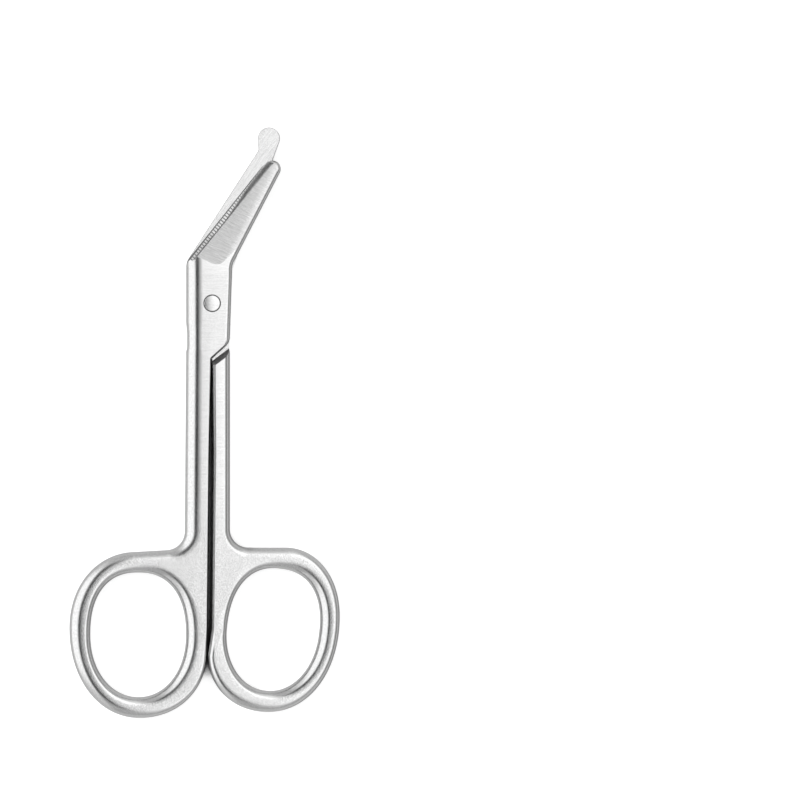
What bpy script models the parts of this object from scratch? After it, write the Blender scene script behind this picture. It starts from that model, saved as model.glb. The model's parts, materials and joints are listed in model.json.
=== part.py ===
"""Angled bandage scissors: a serrated upper blade over a lower blade that ends in a blunt probe.

Two forged halves lap over each other at a flat joint and turn on one countersunk screw.
The closed scissors lie flat: +Y points to the blades, +Z is up and lengths are in metres.
Plan positions are measured from the pivot.
"""

import math

import bmesh
import bpy
from mathutils import Vector
from mathutils.geometry import tessellate_polygon

# Stock, fits and edge roundings, whose rise is limited by the stock
THICKNESS = 0.0046
LAP_GAP = 0.0003
RING_GAP = 0.0003
SCREW_GAP = 0.0002
ROUNDING_RISE = 0.0021
SHANK_ROUNDING = 0.0029
RIGHT_SHANK_ROUNDING = 0.0022
RING_ROUNDING = 0.0024
INNER_ROUNDING = 0.0004
LAP_ROUNDING = 0.0003
SPINE_ROUNDING = 0.00095
SPINE_RISE = 0.0015
KEEN_ROUNDING = 0.00015
MEETING_ROUNDING = 0.00105
RING_CREST = 0.0001
EDGE_WALL = 0.0001

# Joint
JOINT_LEFT = 0.00626
JOINT_RIGHT = 0.0046
JOINT_FOOT_RIGHT = 0.0041
WAIST_DEPTH = 0.00024
WAIST_TOP = 0.0045
WAIST_BOTTOM = 0.0105
WAIST_RAMP = 0.0010
WAIST_ENTRY = 0.0022
CREASE_LEFT = 0.0065
CREASE_RIGHT = 0.0063

# Lap steps and the sloped shoulders below them
STEP_FOOT = 0.0132
STEP_ANGLE = math.radians(42)
STEP_TOP_FILLET = 0.0032
STEP_FOOT_FILLET = 0.0006
SHOULDER_DROP = 0.0004
SHOULDER_TURN = math.radians(9)
SHOULDER_RUN = 0.0010

# Shanks and the slot between them
SHANK_FOOT_LEFT = 0.0066
SHANK_FOOT_RIGHT = 0.00412
SLOT_TOP_CENTRE = 0.0003
SLOT_TOP_WIDTH = 0.0003
SLOT_CENTRE = 0.0006
SLOT_WIDTH = 0.0009
SLOT_WIDE_FROM = 0.0500
SLOT_RING_RUN = 0.00905
LEFT_WEB_RISE = 0.00065
LEFT_WEB_FILLET = 0.0045
RIGHT_WEB_FILLET = 0.0043

# Finger rings, given by the reach of their outer edges; heights run down from a ring's top
RING_STOCK = 0.0049
LEFT_INNER_STOCK = 0.0049
RIGHT_INNER_STOCK = 0.0045
RING_MEETING = 0.00123
LEFT_RING_TOP = 0.05895
LEFT_RING_TOP_X = 0.0180
LEFT_RING_LENGTH = 0.03939
LEFT_RING_BOTTOM_X = 0.0173
LEFT_RING_SIDE = 0.03393
LEFT_RING_SIDE_DROP = 0.01805
LEFT_MEETING_DROP = 0.02105
RIGHT_RING_TOP = 0.05793
RIGHT_RING_TOP_X = 0.0172
RIGHT_RING_LENGTH = 0.03899
RIGHT_RING_BOTTOM_X = 0.0132
RIGHT_RING_SIDE = 0.03019
RIGHT_RING_SIDE_DROP = 0.01627
RIGHT_MEETING_DROP = 0.02457
RIGHT_HOLE_TILT = math.radians(8)
OUTER_EXPONENT = 2.08
HOLE_TOP_EXPONENT = 2.34
HOLE_BOTTOM_EXPONENT = 2.07

# Serrated blade; its bends lie above the ends of the crease
BLADE_BEND_LEFT = 0.0031
BLADE_BEND_RIGHT = 0.0027
BLADE_LEFT_FILLET = 0.0040
BLADE_RIGHT_FILLET = 0.0080
BLADE_TIP_X = 0.0142
BLADE_TIP_Y = 0.0319
BLADE_TIP_RADIUS = 0.0020
BLADE_TIP_HEIGHT = 0.0011
BLADE_ROOT_RUN = 0.0030

# Probe blade; its bends lie above the ends of the crease
PROBE_BEND_LEFT = 0.0033
PROBE_BEND_RIGHT = 0.0019
NECK_LEFT = 0.00248
NECK_DROP = 0.00287
NECK_FILLET = 0.0012
BUTTON_X = 0.01338
BUTTON_Y = 0.03917
BUTTON_RADIUS = 0.0026
BUTTON_HEIGHT = 0.0017
BUTTON_ROUNDING = 0.0011
PROBE_EDGE_MARGIN = 0.0048
PROBE_BEVEL_START = 0.0038
PROBE_BEVEL_MARGIN = 0.0066
PROBE_GRIND_MARGIN = 0.0030

# Grinding of both blades
SPINE_BAND = 0.0012
GROUND_DEPTH = 0.00045
EDGE_LAND = 0.0002
BEVEL_WIDTH = 0.00095
BEVEL_RUN_IN = 0.0040
PLUNGE_LEAN = math.radians(18)
PLUNGE_X = 0.0016
PLUNGE_Y = 0.0088
PLUNGE_LEFT_RISE = math.radians(24)
PLUNGE_RIGHT_RISE = math.radians(45)
PROBE_PLUNGE_RISE = math.radians(26)
PLUNGE_FILLET = 0.0025

# Serrations
TOOTH_PITCH = 0.00073
TOOTH_WIDTH = 0.00061
TOOTH_DEPTH = 0.00014
TOOTH_START = 0.0012
TOOTH_END_MARGIN = 0.0008

# Pivot screw
SCREW_RADIUS = 0.0020
HEAD_OVERHANG = 0.0007
HEAD_LAND = 0.0002
HEAD_SINK = 0.0001
END_CHAMFER = 0.00012
SLOT_CUT_WIDTH = 0.0007
SLOT_CUT_DEPTH = 0.0005

# Smoothness of the curves, and the most of a side that a corner's fillet may use
QUARTER_STEPS = 18
ROUNDING_STEPS = 4
FILLET_STEP = math.radians(9)
TURN_STEPS = 48
BEVEL_STEPS = 8
SMOOTH_ANGLE = math.radians(28)
FILLET_SHARE = 0.45

# Room that a cutter takes beyond what it cuts
OVERCUT = 0.0010
FAR = 0.0600

# Satin stainless steel
STEEL_SHADE = 0.72
STEEL_ROUGHNESS = 0.34

UPPER = 1
LOWER = -1
HALF_THICKNESS = THICKNESS / 2
HEAD_RADIUS = SCREW_RADIUS + HEAD_OVERHANG
LEFT_RING_BOTTOM = LEFT_RING_TOP + LEFT_RING_LENGTH
RIGHT_RING_BOTTOM = RIGHT_RING_TOP + RIGHT_RING_LENGTH
NECK_X = BUTTON_X - NECK_LEFT
NECK_Y = BUTTON_Y - NECK_DROP


def clear_scene():
    """Remove whatever the open scene holds."""
    for item in list(bpy.data.objects):
        bpy.data.objects.remove(item)


def satin_steel(name):
    """A brushed stainless steel of its own for each piece."""
    material = bpy.data.materials.new(name)
    material.use_nodes = True
    shader = material.node_tree.nodes["Principled BSDF"]
    shader.inputs["Base Color"].default_value = (STEEL_SHADE, STEEL_SHADE, STEEL_SHADE, 1)
    shader.inputs["Metallic"].default_value = 1.0
    shader.inputs["Roughness"].default_value = STEEL_ROUGHNESS
    return material


def vertex(x, y, fillet, rounding, later_rounding=None):
    """One corner of a plan: its fillet, and the width of the edge rounding before and after it."""
    after = rounding if later_rounding is None else later_rounding
    return Vector((x, y)), fillet, rounding, after


def rounding_rise(width):
    """Height of an edge rounding: a small one is round, a spine's is steep and a wide one is flat."""
    if width <= SPINE_ROUNDING:
        return width * SPINE_RISE / SPINE_ROUNDING
    share = (width - SPINE_ROUNDING) / (RIGHT_SHANK_ROUNDING - SPINE_ROUNDING)
    return min(ROUNDING_RISE, SPINE_RISE + (ROUNDING_RISE - SPINE_RISE) * share)


def arc(centre, radius, first, last, first_rounding, last_rounding):
    """Points of a circle between two angles."""
    steps = max(2, math.ceil(abs(last - first) / FILLET_STEP))
    found = []
    for step in range(steps + 1):
        share = step / steps
        spot = centre + point_on(first + (last - first) * share, radius)
        rounding = first_rounding + (last_rounding - first_rounding) * share
        found.append(vertex(spot.x, spot.y, 0, rounding))
    return found


def quarter(side, end, exponent, first_rounding, last_rounding):
    """A quarter of a superellipse from its upright side point to its level end point."""
    found = []
    for step in range(QUARTER_STEPS + 1):
        share = step / QUARTER_STEPS
        angle = share * math.pi / 2
        x = end.x + (side.x - end.x) * max(0.0, math.cos(angle)) ** (2 / exponent)
        y = side.y + (end.y - side.y) * math.sin(angle) ** (2 / exponent)
        rounding = first_rounding + (last_rounding - first_rounding) * share
        found.append(vertex(x, y, 0, rounding))
    return found


def point_on(angle, radius):
    """A step of the given length at the given angle."""
    return radius * Vector((math.cos(angle), math.sin(angle)))


def tangent_angle(point, centre, radius, hand):
    """Angle on the circle where a line from the point touches it, on its right (1) or left (-1)."""
    away = point - centre
    spread = math.acos(min(1.0, radius / away.length))
    return math.atan2(away.y, away.x) + hand * spread


def round_corners(corners):
    """Replace each corner that has a fillet by the arc that touches both its sides."""
    points = []
    for index, (corner, fillet, rounding, after) in enumerate(corners):
        if fillet == 0:
            points.append((corner, rounding))
            continue
        to_last = corners[index - 1][0] - corner
        to_next = corners[(index + 1) % len(corners)][0] - corner
        half = to_last.angle(to_next) / 2
        side = min(to_last.length, to_next.length)
        reach = min(fillet / math.tan(half), FILLET_SHARE * side)
        radius = reach * math.tan(half)
        towards = (to_last.normalized() + to_next.normalized()).normalized()
        centre = corner + towards * radius / math.sin(half)
        start = corner + to_last.normalized() * reach - centre
        finish = corner + to_next.normalized() * reach - centre
        turn = math.atan2(start.cross(finish), start.dot(finish))
        steps = max(2, math.ceil(abs(turn) / FILLET_STEP))
        first = math.atan2(start.y, start.x)
        for step in range(steps + 1):
            share = step / steps
            spot = centre + point_on(first + turn * share, radius)
            points.append((spot, rounding + (after - rounding) * share))
    return points


def inward(points):
    """For each point of a loop, the mitred step that moves both its sides in by one unit."""
    steps = []
    for index, (spot, _) in enumerate(points):
        before = (spot - points[index - 1][0]).normalized()
        after = (points[(index + 1) % len(points)][0] - spot).normalized()
        first = Vector((-before.y, before.x))
        second = Vector((-after.y, after.x))
        steps.append((first + second) / (1 + first.dot(second)))
    return steps


def fitted_roundings(points, others):
    """Narrow the roundings where the stock to the other loop has no room for both sides' own."""
    fitted = []
    for spot, rounding in points:
        stock = min((spot - other).length for other, _ in others)
        fitted.append((spot, min(rounding, (stock - RING_CREST) / 2)))
    return fitted


def edge_levels(points, height_at):
    """Loops of a rounded edge, from the lower face over the wall to the upper face."""
    steps = inward(points)
    upper = []
    for level in range(ROUNDING_STEPS + 1):
        angle = level / ROUNDING_STEPS * math.pi / 2
        loop = []
        for (spot, wanted), step in zip(points, steps):
            rise = min(rounding_rise(wanted), height_at(spot) - EDGE_WALL)
            place = spot + step * wanted * (1 - math.cos(angle))
            height = height_at(place) - rise * (1 - math.sin(angle))
            loop.append(Vector((place.x, place.y, height)))
        upper.append(loop)
    lower = [[Vector((p.x, p.y, -p.z)) for p in loop] for loop in reversed(upper)]
    return lower + upper


def plate(name, blade, handle, hole, height_at, material):
    """One half as a plate with rounded edges and a finger hole.

    The blade and the handle together are its outline; their flat faces are filled apart,
    because the blade's faces close in on each other towards its tip.
    """
    mesh = bmesh.new()
    rows = []
    for loop in (fitted_roundings(blade + handle, hole), fitted_roundings(hole, handle)):
        levels = edge_levels(loop, height_at)
        rings = [[mesh.verts.new(place) for place in level] for level in levels]
        for low, high in zip(rings, rings[1:]):
            for index in range(len(low)):
                mesh.faces.new((low[index - 1], low[index], high[index], high[index - 1]))
        rows.append(rings)
    split = len(blade)
    for end in (0, -1):
        outline, opening = rows[0][end], rows[1][end]
        for part in ([outline[:split]], [outline[split - 1:] + outline[:1], opening]):
            spots = [spot for ring in part for spot in ring]
            for corners in tessellate_polygon([[v.co for v in ring] for ring in part]):
                mesh.faces.new([spots[corner] for corner in corners])
    bmesh.ops.recalc_face_normals(mesh, faces=mesh.faces)
    return finish(name, mesh, material)


def finish(name, mesh, material=None):
    """Turn a bmesh into an object, smooth on its curves and sharp on its corners."""
    data = bpy.data.meshes.new(name)
    mesh.to_mesh(data)
    mesh.free()
    piece = bpy.data.objects.new(name, data)
    bpy.context.scene.collection.objects.link(piece)
    if material:
        data.materials.append(material)
        data.shade_smooth()
        data.set_sharp_from_angle(angle=SMOOTH_ANGLE)
    return piece


def block(mesh, foot, roof):
    """A closed block between two loops with the same number of corners."""
    low = [mesh.verts.new(place) for place in foot]
    high = [mesh.verts.new(place) for place in roof]
    mesh.faces.new(low)
    mesh.faces.new(high)
    for index in range(len(low)):
        mesh.faces.new((low[index - 1], low[index], high[index], high[index - 1]))


def turned(name, profile, material=None):
    """A solid turned about the pivot from a profile of radii and heights."""
    mesh = bmesh.new()
    rings = []
    for radius, height in profile:
        ring = []
        for step in range(TURN_STEPS):
            angle = math.tau * step / TURN_STEPS
            ring.append(mesh.verts.new((radius * math.cos(angle), radius * math.sin(angle), height)))
        rings.append(ring)
    for low, high in zip(rings, rings[1:]):
        for index in range(TURN_STEPS):
            mesh.faces.new((low[index - 1], low[index], high[index], high[index - 1]))
    mesh.faces.new(rings[0])
    mesh.faces.new(rings[-1])
    bmesh.ops.recalc_face_normals(mesh, faces=mesh.faces)
    return finish(name, mesh, material)


def cut(piece, cutter):
    """Take the cutter's form out of the piece."""
    cutter.display_type = "WIRE"
    cutter.hide_render = True
    modifier = piece.modifiers.new(cutter.name, "BOOLEAN")
    modifier.operation = "DIFFERENCE"
    modifier.solver = "EXACT"
    modifier.object = cutter


def closed_mesh(name, mesh):
    """A cutter from a mesh whose faces are first turned outwards."""
    bmesh.ops.recalc_face_normals(mesh, faces=mesh.faces)
    return finish(name, mesh)


def left_ring_edge():
    """Outer edge of the left ring, from its top over its side and bottom to the other ring."""
    top = Vector((-LEFT_RING_TOP_X, -LEFT_RING_TOP))
    side = Vector((-LEFT_RING_SIDE, -LEFT_RING_TOP - LEFT_RING_SIDE_DROP))
    bottom = Vector((-LEFT_RING_BOTTOM_X, -LEFT_RING_BOTTOM))
    meeting = Vector((-RING_MEETING - RING_GAP / 2, -LEFT_RING_TOP - LEFT_MEETING_DROP))
    edge = quarter(side, top, OUTER_EXPONENT, RING_ROUNDING, RING_ROUNDING)[::-1]
    edge += quarter(side, bottom, OUTER_EXPONENT, RING_ROUNDING, RING_ROUNDING)[1:]
    return edge + quarter(meeting, bottom, OUTER_EXPONENT, MEETING_ROUNDING, RING_ROUNDING)[-2::-1]


def right_ring_edge():
    """Outer edge of the right ring, from the other ring over its bottom and side to its top."""
    top = Vector((RIGHT_RING_TOP_X, -RIGHT_RING_TOP))
    side = Vector((RIGHT_RING_SIDE, -RIGHT_RING_TOP - RIGHT_RING_SIDE_DROP))
    bottom = Vector((RIGHT_RING_BOTTOM_X, -RIGHT_RING_BOTTOM))
    meeting = Vector((-RING_MEETING + RING_GAP / 2, -RIGHT_RING_TOP - RIGHT_MEETING_DROP))
    edge = quarter(meeting, bottom, OUTER_EXPONENT, MEETING_ROUNDING, RING_ROUNDING)
    edge += quarter(side, bottom, OUTER_EXPONENT, RING_ROUNDING, RING_ROUNDING)[-2::-1]
    return edge + quarter(side, top, OUTER_EXPONENT, RING_ROUNDING, RING_ROUNDING)[1:]


def finger_hole(left, right, top, bottom, tilt):
    """A tall oval hole between the given sides, leaning by the tilt and running clockwise."""
    centre = Vector(((left + right) / 2, (top + bottom) / 2))
    half_width = (right - left) / 2
    half_height = (top - bottom) / 2
    steps = 4 * QUARTER_STEPS
    points = []
    for step in range(steps):
        angle = -math.tau * step / steps
        across, along = math.cos(angle), math.sin(angle)
        exponent = HOLE_TOP_EXPONENT if along > 0 else HOLE_BOTTOM_EXPONENT
        x = half_width * math.copysign(abs(across) ** (2 / exponent), across)
        y = half_height * math.copysign(abs(along) ** (2 / exponent), along)
        turned_x = x * math.cos(tilt) + y * math.sin(tilt)
        turned_y = y * math.cos(tilt) - x * math.sin(tilt)
        points.append((centre + Vector((turned_x, turned_y)), RING_ROUNDING))
    return points


def slot_side(hand, height):
    """Place of the slot's left (-1) or right (1) side at a height below the pivot."""
    share = min(1.0, (height - STEP_FOOT) / (SLOT_WIDE_FROM - STEP_FOOT))
    middle = -SLOT_TOP_CENTRE + (SLOT_TOP_CENTRE - SLOT_CENTRE) * share
    width = SLOT_TOP_WIDTH + (SLOT_WIDTH - SLOT_TOP_WIDTH) * share
    return middle + hand * width / 2


def shank_inner_edge(hand):
    """A shank's inner edge along the slot's left (-1) or right (1) side, from the rings upwards."""
    edge = []
    for height in (LEFT_RING_TOP + SLOT_RING_RUN, SLOT_WIDE_FROM):
        edge.append(vertex(slot_side(hand, height), -height, 0, INNER_ROUNDING))
    return edge


def lap_step(half):
    """Slanted end of a half's full width, beside the other half's shank."""
    foot_x = slot_side(-half, STEP_FOOT)
    side_x = JOINT_FOOT_RIGHT if half == UPPER else -JOINT_LEFT + WAIST_DEPTH
    rise = abs(side_x - foot_x) * math.tan(STEP_ANGLE)
    foot = vertex(foot_x, -STEP_FOOT, STEP_FOOT_FILLET, LAP_ROUNDING)
    if half == UPPER:
        return [foot, vertex(side_x, rise - STEP_FOOT, STEP_TOP_FILLET, LAP_ROUNDING, SPINE_ROUNDING)]
    return [vertex(side_x, rise - STEP_FOOT, STEP_TOP_FILLET, SHANK_ROUNDING, LAP_ROUNDING), foot]


def upper_handle():
    """Outline of the upper half below its blade: joint, left shank and left ring."""
    waist = -JOINT_LEFT + WAIST_DEPTH
    edge = [vertex(-JOINT_LEFT, -WAIST_TOP, 0, SHANK_ROUNDING)]
    edge.append(vertex(waist, -WAIST_TOP - WAIST_ENTRY, 0, SHANK_ROUNDING))
    edge.append(vertex(waist, -WAIST_BOTTOM, 0, SHANK_ROUNDING))
    edge.append(vertex(-JOINT_LEFT, -WAIST_BOTTOM - WAIST_RAMP, 0, SHANK_ROUNDING))
    web = -LEFT_RING_TOP + LEFT_WEB_RISE
    edge.append(vertex(-SHANK_FOOT_LEFT, web, LEFT_WEB_FILLET, SHANK_ROUNDING, RING_ROUNDING))
    edge += left_ring_edge()
    edge += shank_inner_edge(-1)
    return edge + lap_step(UPPER)


def lower_handle():
    """Outline of the lower half below its blade: joint, right shank and right ring."""
    waist = JOINT_FOOT_RIGHT - WAIST_DEPTH
    edge = [vertex(-JOINT_LEFT, -WAIST_TOP, 0, SHANK_ROUNDING)]
    edge += lap_step(LOWER)
    edge += shank_inner_edge(1)[::-1]
    edge += right_ring_edge()
    web = vertex(SHANK_FOOT_RIGHT, -RIGHT_RING_TOP, RIGHT_WEB_FILLET, RING_ROUNDING, RIGHT_SHANK_ROUNDING)
    edge.append(web)
    edge.append(vertex(SHANK_FOOT_RIGHT, -WAIST_BOTTOM - WAIST_RAMP, 0, RIGHT_SHANK_ROUNDING))
    edge.append(vertex(waist, -WAIST_BOTTOM, 0, RIGHT_SHANK_ROUNDING))
    edge.append(vertex(JOINT_FOOT_RIGHT, -WAIST_TOP - WAIST_ENTRY, 0, SPINE_ROUNDING))
    return edge


def crease_ends():
    """Ends of the line across the joint where both blades begin to thin."""
    return Vector((JOINT_RIGHT, CREASE_RIGHT)), Vector((-JOINT_LEFT, CREASE_LEFT))


def blade_bends(rise_left, rise_right):
    """Corners where a blade turns off the joint, at the given rises above the crease."""
    right, left = crease_ends()
    return right + Vector((0, rise_right)), left + Vector((0, rise_left))


def serrated_outline():
    """Outline of the serrated blade, from the right of the joint round its tip to the left."""
    right, left = crease_ends()
    bend_right, bend_left = blade_bends(BLADE_BEND_LEFT, BLADE_BEND_RIGHT)
    tip = Vector((BLADE_TIP_X, BLADE_TIP_Y))
    first = tangent_angle(bend_right, tip, BLADE_TIP_RADIUS, 1)
    last = tangent_angle(bend_left, tip, BLADE_TIP_RADIUS, -1) + math.tau
    edge = [vertex(right.x, right.y, 0, SPINE_ROUNDING)]
    edge.append(vertex(bend_right.x, bend_right.y, BLADE_RIGHT_FILLET, SPINE_ROUNDING))
    edge += arc(tip, BLADE_TIP_RADIUS, first, last, SPINE_ROUNDING, KEEN_ROUNDING)
    root = bend_left + (edge[-1][0] - bend_left).normalized() * BLADE_ROOT_RUN
    edge.append(vertex(root.x, root.y, 0, KEEN_ROUNDING))
    edge.append(vertex(bend_left.x, bend_left.y, BLADE_LEFT_FILLET, SHANK_ROUNDING))
    edge.append(vertex(left.x, left.y, 0, SHANK_ROUNDING))
    return edge


def probe_outline():
    """Outline of the probe blade, from the right of the joint round its button to the left."""
    right, left = crease_ends()
    bend_right, bend_left = blade_bends(PROBE_BEND_LEFT, PROBE_BEND_RIGHT)
    neck = Vector((NECK_X, NECK_Y))
    button = Vector((BUTTON_X, BUTTON_Y))
    first = tangent_angle(bend_right, button, BUTTON_RADIUS, 1)
    last = tangent_angle(neck, button, BUTTON_RADIUS, -1) + math.tau
    edge = [vertex(right.x, right.y, 0, SPINE_ROUNDING)]
    edge.append(vertex(bend_right.x, bend_right.y, BLADE_RIGHT_FILLET, KEEN_ROUNDING))
    round_button = arc(button, BUTTON_RADIUS, first, last, BUTTON_ROUNDING, BUTTON_ROUNDING)
    touch = round_button[0][0]
    foot = touch - (touch - bend_right).normalized() * PROBE_EDGE_MARGIN
    edge.append(vertex(foot.x, foot.y, 0, KEEN_ROUNDING))
    edge += round_button
    edge.append(vertex(neck.x, neck.y, NECK_FILLET, BUTTON_ROUNDING))
    edge.append(vertex(bend_left.x, bend_left.y, BLADE_LEFT_FILLET, SPINE_ROUNDING))
    edge.append(vertex(left.x, left.y, 0, SHANK_ROUNDING))
    return edge


def thinning(tip, tip_height):
    """Half thickness over the plan: even up to the crease, then falling evenly to the tip."""
    right, left = crease_ends()
    along = (right - left).normalized()
    onward = Vector((-along.y, along.x))
    reach = (tip - left).dot(onward)
    slope = (HALF_THICKNESS - tip_height) / reach

    def height_at(place):
        return HALF_THICKNESS - slope * max(0.0, (place - left).dot(onward))

    return height_at


def lap_cutter(name, side):
    """Takes off the half of the thickness that the other piece fills, down to a sloped shoulder."""
    inner = slot_side(side, STEP_FOOT)
    angle = STEP_ANGLE - SHOULDER_TURN
    across = Vector((side * math.cos(angle), math.sin(angle)))
    down = Vector((side * math.sin(angle), -math.cos(angle)))
    middle = Vector((inner, -STEP_FOOT - SHOULDER_DROP))
    height = HALF_THICKNESS + OVERCUT
    run = SHOULDER_RUN * (height + LAP_GAP / 2) / HALF_THICKNESS
    mesh = bmesh.new()
    loops = []
    for level, shift in ((-side * LAP_GAP / 2, 0.0), (side * height, run)):
        first = middle - across * FAR + down * shift
        last = middle + across * FAR + down * shift
        plan = (first, last, Vector((last.x, FAR)), Vector((first.x, FAR)))
        loops.append([Vector((p.x, p.y, level)) for p in plan])
    block(mesh, *loops)
    return closed_mesh(name, mesh)


def inner_line(start, finish, inset):
    """A line moved to its left by the inset."""
    along = (finish - start).normalized()
    aside = Vector((-along.y, along.x)) * inset
    return start + aside, finish + aside


def ground_face(spine_start, spine_end, edge_start, height_at):
    """Height over the plan of a blade's ground face, which falls from the spine to the edge."""
    first, last = inner_line(spine_start, spine_end, SPINE_BAND)
    run = last - first
    fall = height_at(last) - height_at(first)
    aside = Vector((-run.y, run.x)).normalized()
    width = (edge_start - first).dot(aside)
    slope = -GROUND_DEPTH / width

    def face_at(place):
        along = (place - first).dot(run) / run.length_squared
        return height_at(first) + fall * along + slope * (place - first).dot(aside)

    return face_at


def ground_cutter(name, side, plan, face_at):
    """Grinds a blade's outer face down to a plane, with a steep run-out at the joint."""
    points = round_corners(plan)
    heights = [face_at(place) for place, _ in points]
    roof = max(heights + [HALF_THICKNESS]) + OVERCUT
    foot, lid = [], []
    for (place, _), step, height in zip(points, inward(points), heights):
        spread = place - step * (roof - height) * math.tan(PLUNGE_LEAN)
        foot.append(Vector((place.x, place.y, side * height)))
        lid.append(Vector((spread.x, spread.y, side * roof)))
    mesh = bmesh.new()
    block(mesh, foot, lid)
    return closed_mesh(name, mesh)


def bevel_heights(foot, inside, face_at):
    """Height of the edge's land, and the slope at which the bevel climbs from it to the ground face."""
    land = LAP_GAP / 2 + EDGE_LAND
    slope = (face_at(foot + inside * BEVEL_WIDTH) - land) / BEVEL_WIDTH
    return land, slope


def bevel_cutter(name, side, start, end, face_at):
    """Bevels a cutting edge to an even width, from the ground face down to a narrow land."""
    along = (end - start).normalized()
    inside = Vector((along.y, -along.x)) * side
    roof = HALF_THICKNESS + OVERCUT
    mesh = bmesh.new()
    rings = []
    for step in range(BEVEL_STEPS + 1):
        foot = start.lerp(end, step / BEVEL_STEPS)
        land, slope = bevel_heights(foot, inside, face_at)
        section = ((-OVERCUT, land - slope * OVERCUT), ((roof - land) / slope, roof), (-OVERCUT, roof))
        ring = []
        for inset, height in section:
            place = foot + inside * inset
            ring.append(mesh.verts.new((place.x, place.y, side * height)))
        rings.append(ring)
    for near, far in zip(rings, rings[1:]):
        for index in range(len(near)):
            mesh.faces.new((near[index - 1], near[index], far[index], far[index - 1]))
    mesh.faces.new(rings[0])
    mesh.faces.new(rings[-1])
    bmesh.ops.triangulate(mesh, faces=mesh.faces)
    return closed_mesh(name, mesh)


def tooth_cutter(name, start, finish_point, face_at):
    """A row of small grooves across the bevel of the cutting edge."""
    along = (finish_point - start).normalized()
    inside = Vector((along.y, -along.x))
    length = (finish_point - start).length
    count = int((length - TOOTH_START - TOOTH_END_MARGIN) / TOOTH_PITCH)
    mesh = bmesh.new()
    for tooth in range(count):
        centre = start + along * (TOOTH_START + tooth * TOOTH_PITCH)
        land, slope = bevel_heights(centre, inside, face_at)
        loops = []
        for inset in (-OVERCUT / 2, BEVEL_WIDTH):
            apex = centre + inside * inset
            left = apex - along * TOOTH_WIDTH / 2
            right = apex + along * TOOTH_WIDTH / 2
            low = land + slope * inset - TOOTH_DEPTH * math.hypot(1, slope)
            high = land + slope * inset + TOOTH_DEPTH
            loops.append([Vector((apex.x, apex.y, low)), Vector((right.x, right.y, high)),
                          Vector((left.x, left.y, high))])
        block(mesh, *loops)
    return closed_mesh(name, mesh)


def handle_points(blade, handle):
    """Points of a handle's outline, rounded where it leaves the ends of its blade."""
    left, right = blade[-1][0], blade[0][0]
    joined = [vertex(left.x, left.y, 0, 0)] + handle + [vertex(right.x, right.y, 0, 0)]
    return round_corners(joined)[1:-1]


def pivot_empty():
    """The pivot's axis, which carries every piece."""
    empty = bpy.data.objects.new("pivot_axis", None)
    bpy.context.scene.collection.objects.link(empty)
    return empty


def serrated_half():
    """Upper half: serrated blade, joint, left shank and left ring."""
    tip = Vector((BLADE_TIP_X, BLADE_TIP_Y))
    height_at = thinning(tip, BLADE_TIP_HEIGHT)
    blade = round_corners(serrated_outline())
    handle = handle_points(blade, upper_handle())
    hole_left = -LEFT_RING_SIDE + RING_STOCK
    hole_right = -RING_MEETING - RING_GAP / 2 - LEFT_INNER_STOCK
    hole = finger_hole(hole_left, hole_right, -LEFT_RING_TOP - RING_STOCK,
                       -LEFT_RING_BOTTOM + RING_STOCK, 0)
    steel = satin_steel("satin_steel_upper")
    piece = plate("serrated_blade_half", blade, handle, hole, height_at, steel)

    bend_right, bend_left = blade_bends(BLADE_BEND_LEFT, BLADE_BEND_RIGHT)
    spine = tip + point_on(tangent_angle(bend_right, tip, BLADE_TIP_RADIUS, 1), BLADE_TIP_RADIUS)
    keen = tip + point_on(tangent_angle(bend_left, tip, BLADE_TIP_RADIUS, -1), BLADE_TIP_RADIUS)
    cut(piece, lap_cutter("upper_lap_cut", LOWER))
    face_at = ground_face(bend_right, spine, bend_left, height_at)
    corner = Vector((PLUNGE_X, PLUNGE_Y))
    right_end = corner + point_on(PLUNGE_RIGHT_RISE, FAR)
    left_end = corner + point_on(math.pi - PLUNGE_LEFT_RISE, FAR)
    plan = [vertex(corner.x, corner.y, PLUNGE_FILLET, 0)]
    plan.append(vertex(right_end.x, right_end.y, 0, 0))
    plan.append(vertex(right_end.x, FAR, 0, 0))
    plan.append(vertex(left_end.x, FAR, 0, 0))
    plan.append(vertex(left_end.x, left_end.y, 0, 0))
    cut(piece, ground_cutter("upper_grinding_cut", UPPER, plan, face_at))
    along = (keen - bend_left).normalized()
    run_in = bend_left - along * BEVEL_RUN_IN
    run_out = keen + along * (BLADE_TIP_RADIUS + OVERCUT)
    cut(piece, bevel_cutter("upper_bevel_cut", UPPER, run_in, run_out, face_at))
    cut(piece, tooth_cutter("serration_cut", bend_left, keen, face_at))
    bore = SCREW_RADIUS + SCREW_GAP
    reach = HALF_THICKNESS + OVERCUT
    cut(piece, turned("upper_bore_cut", [(bore, -reach), (bore, reach)]))
    return piece


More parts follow.
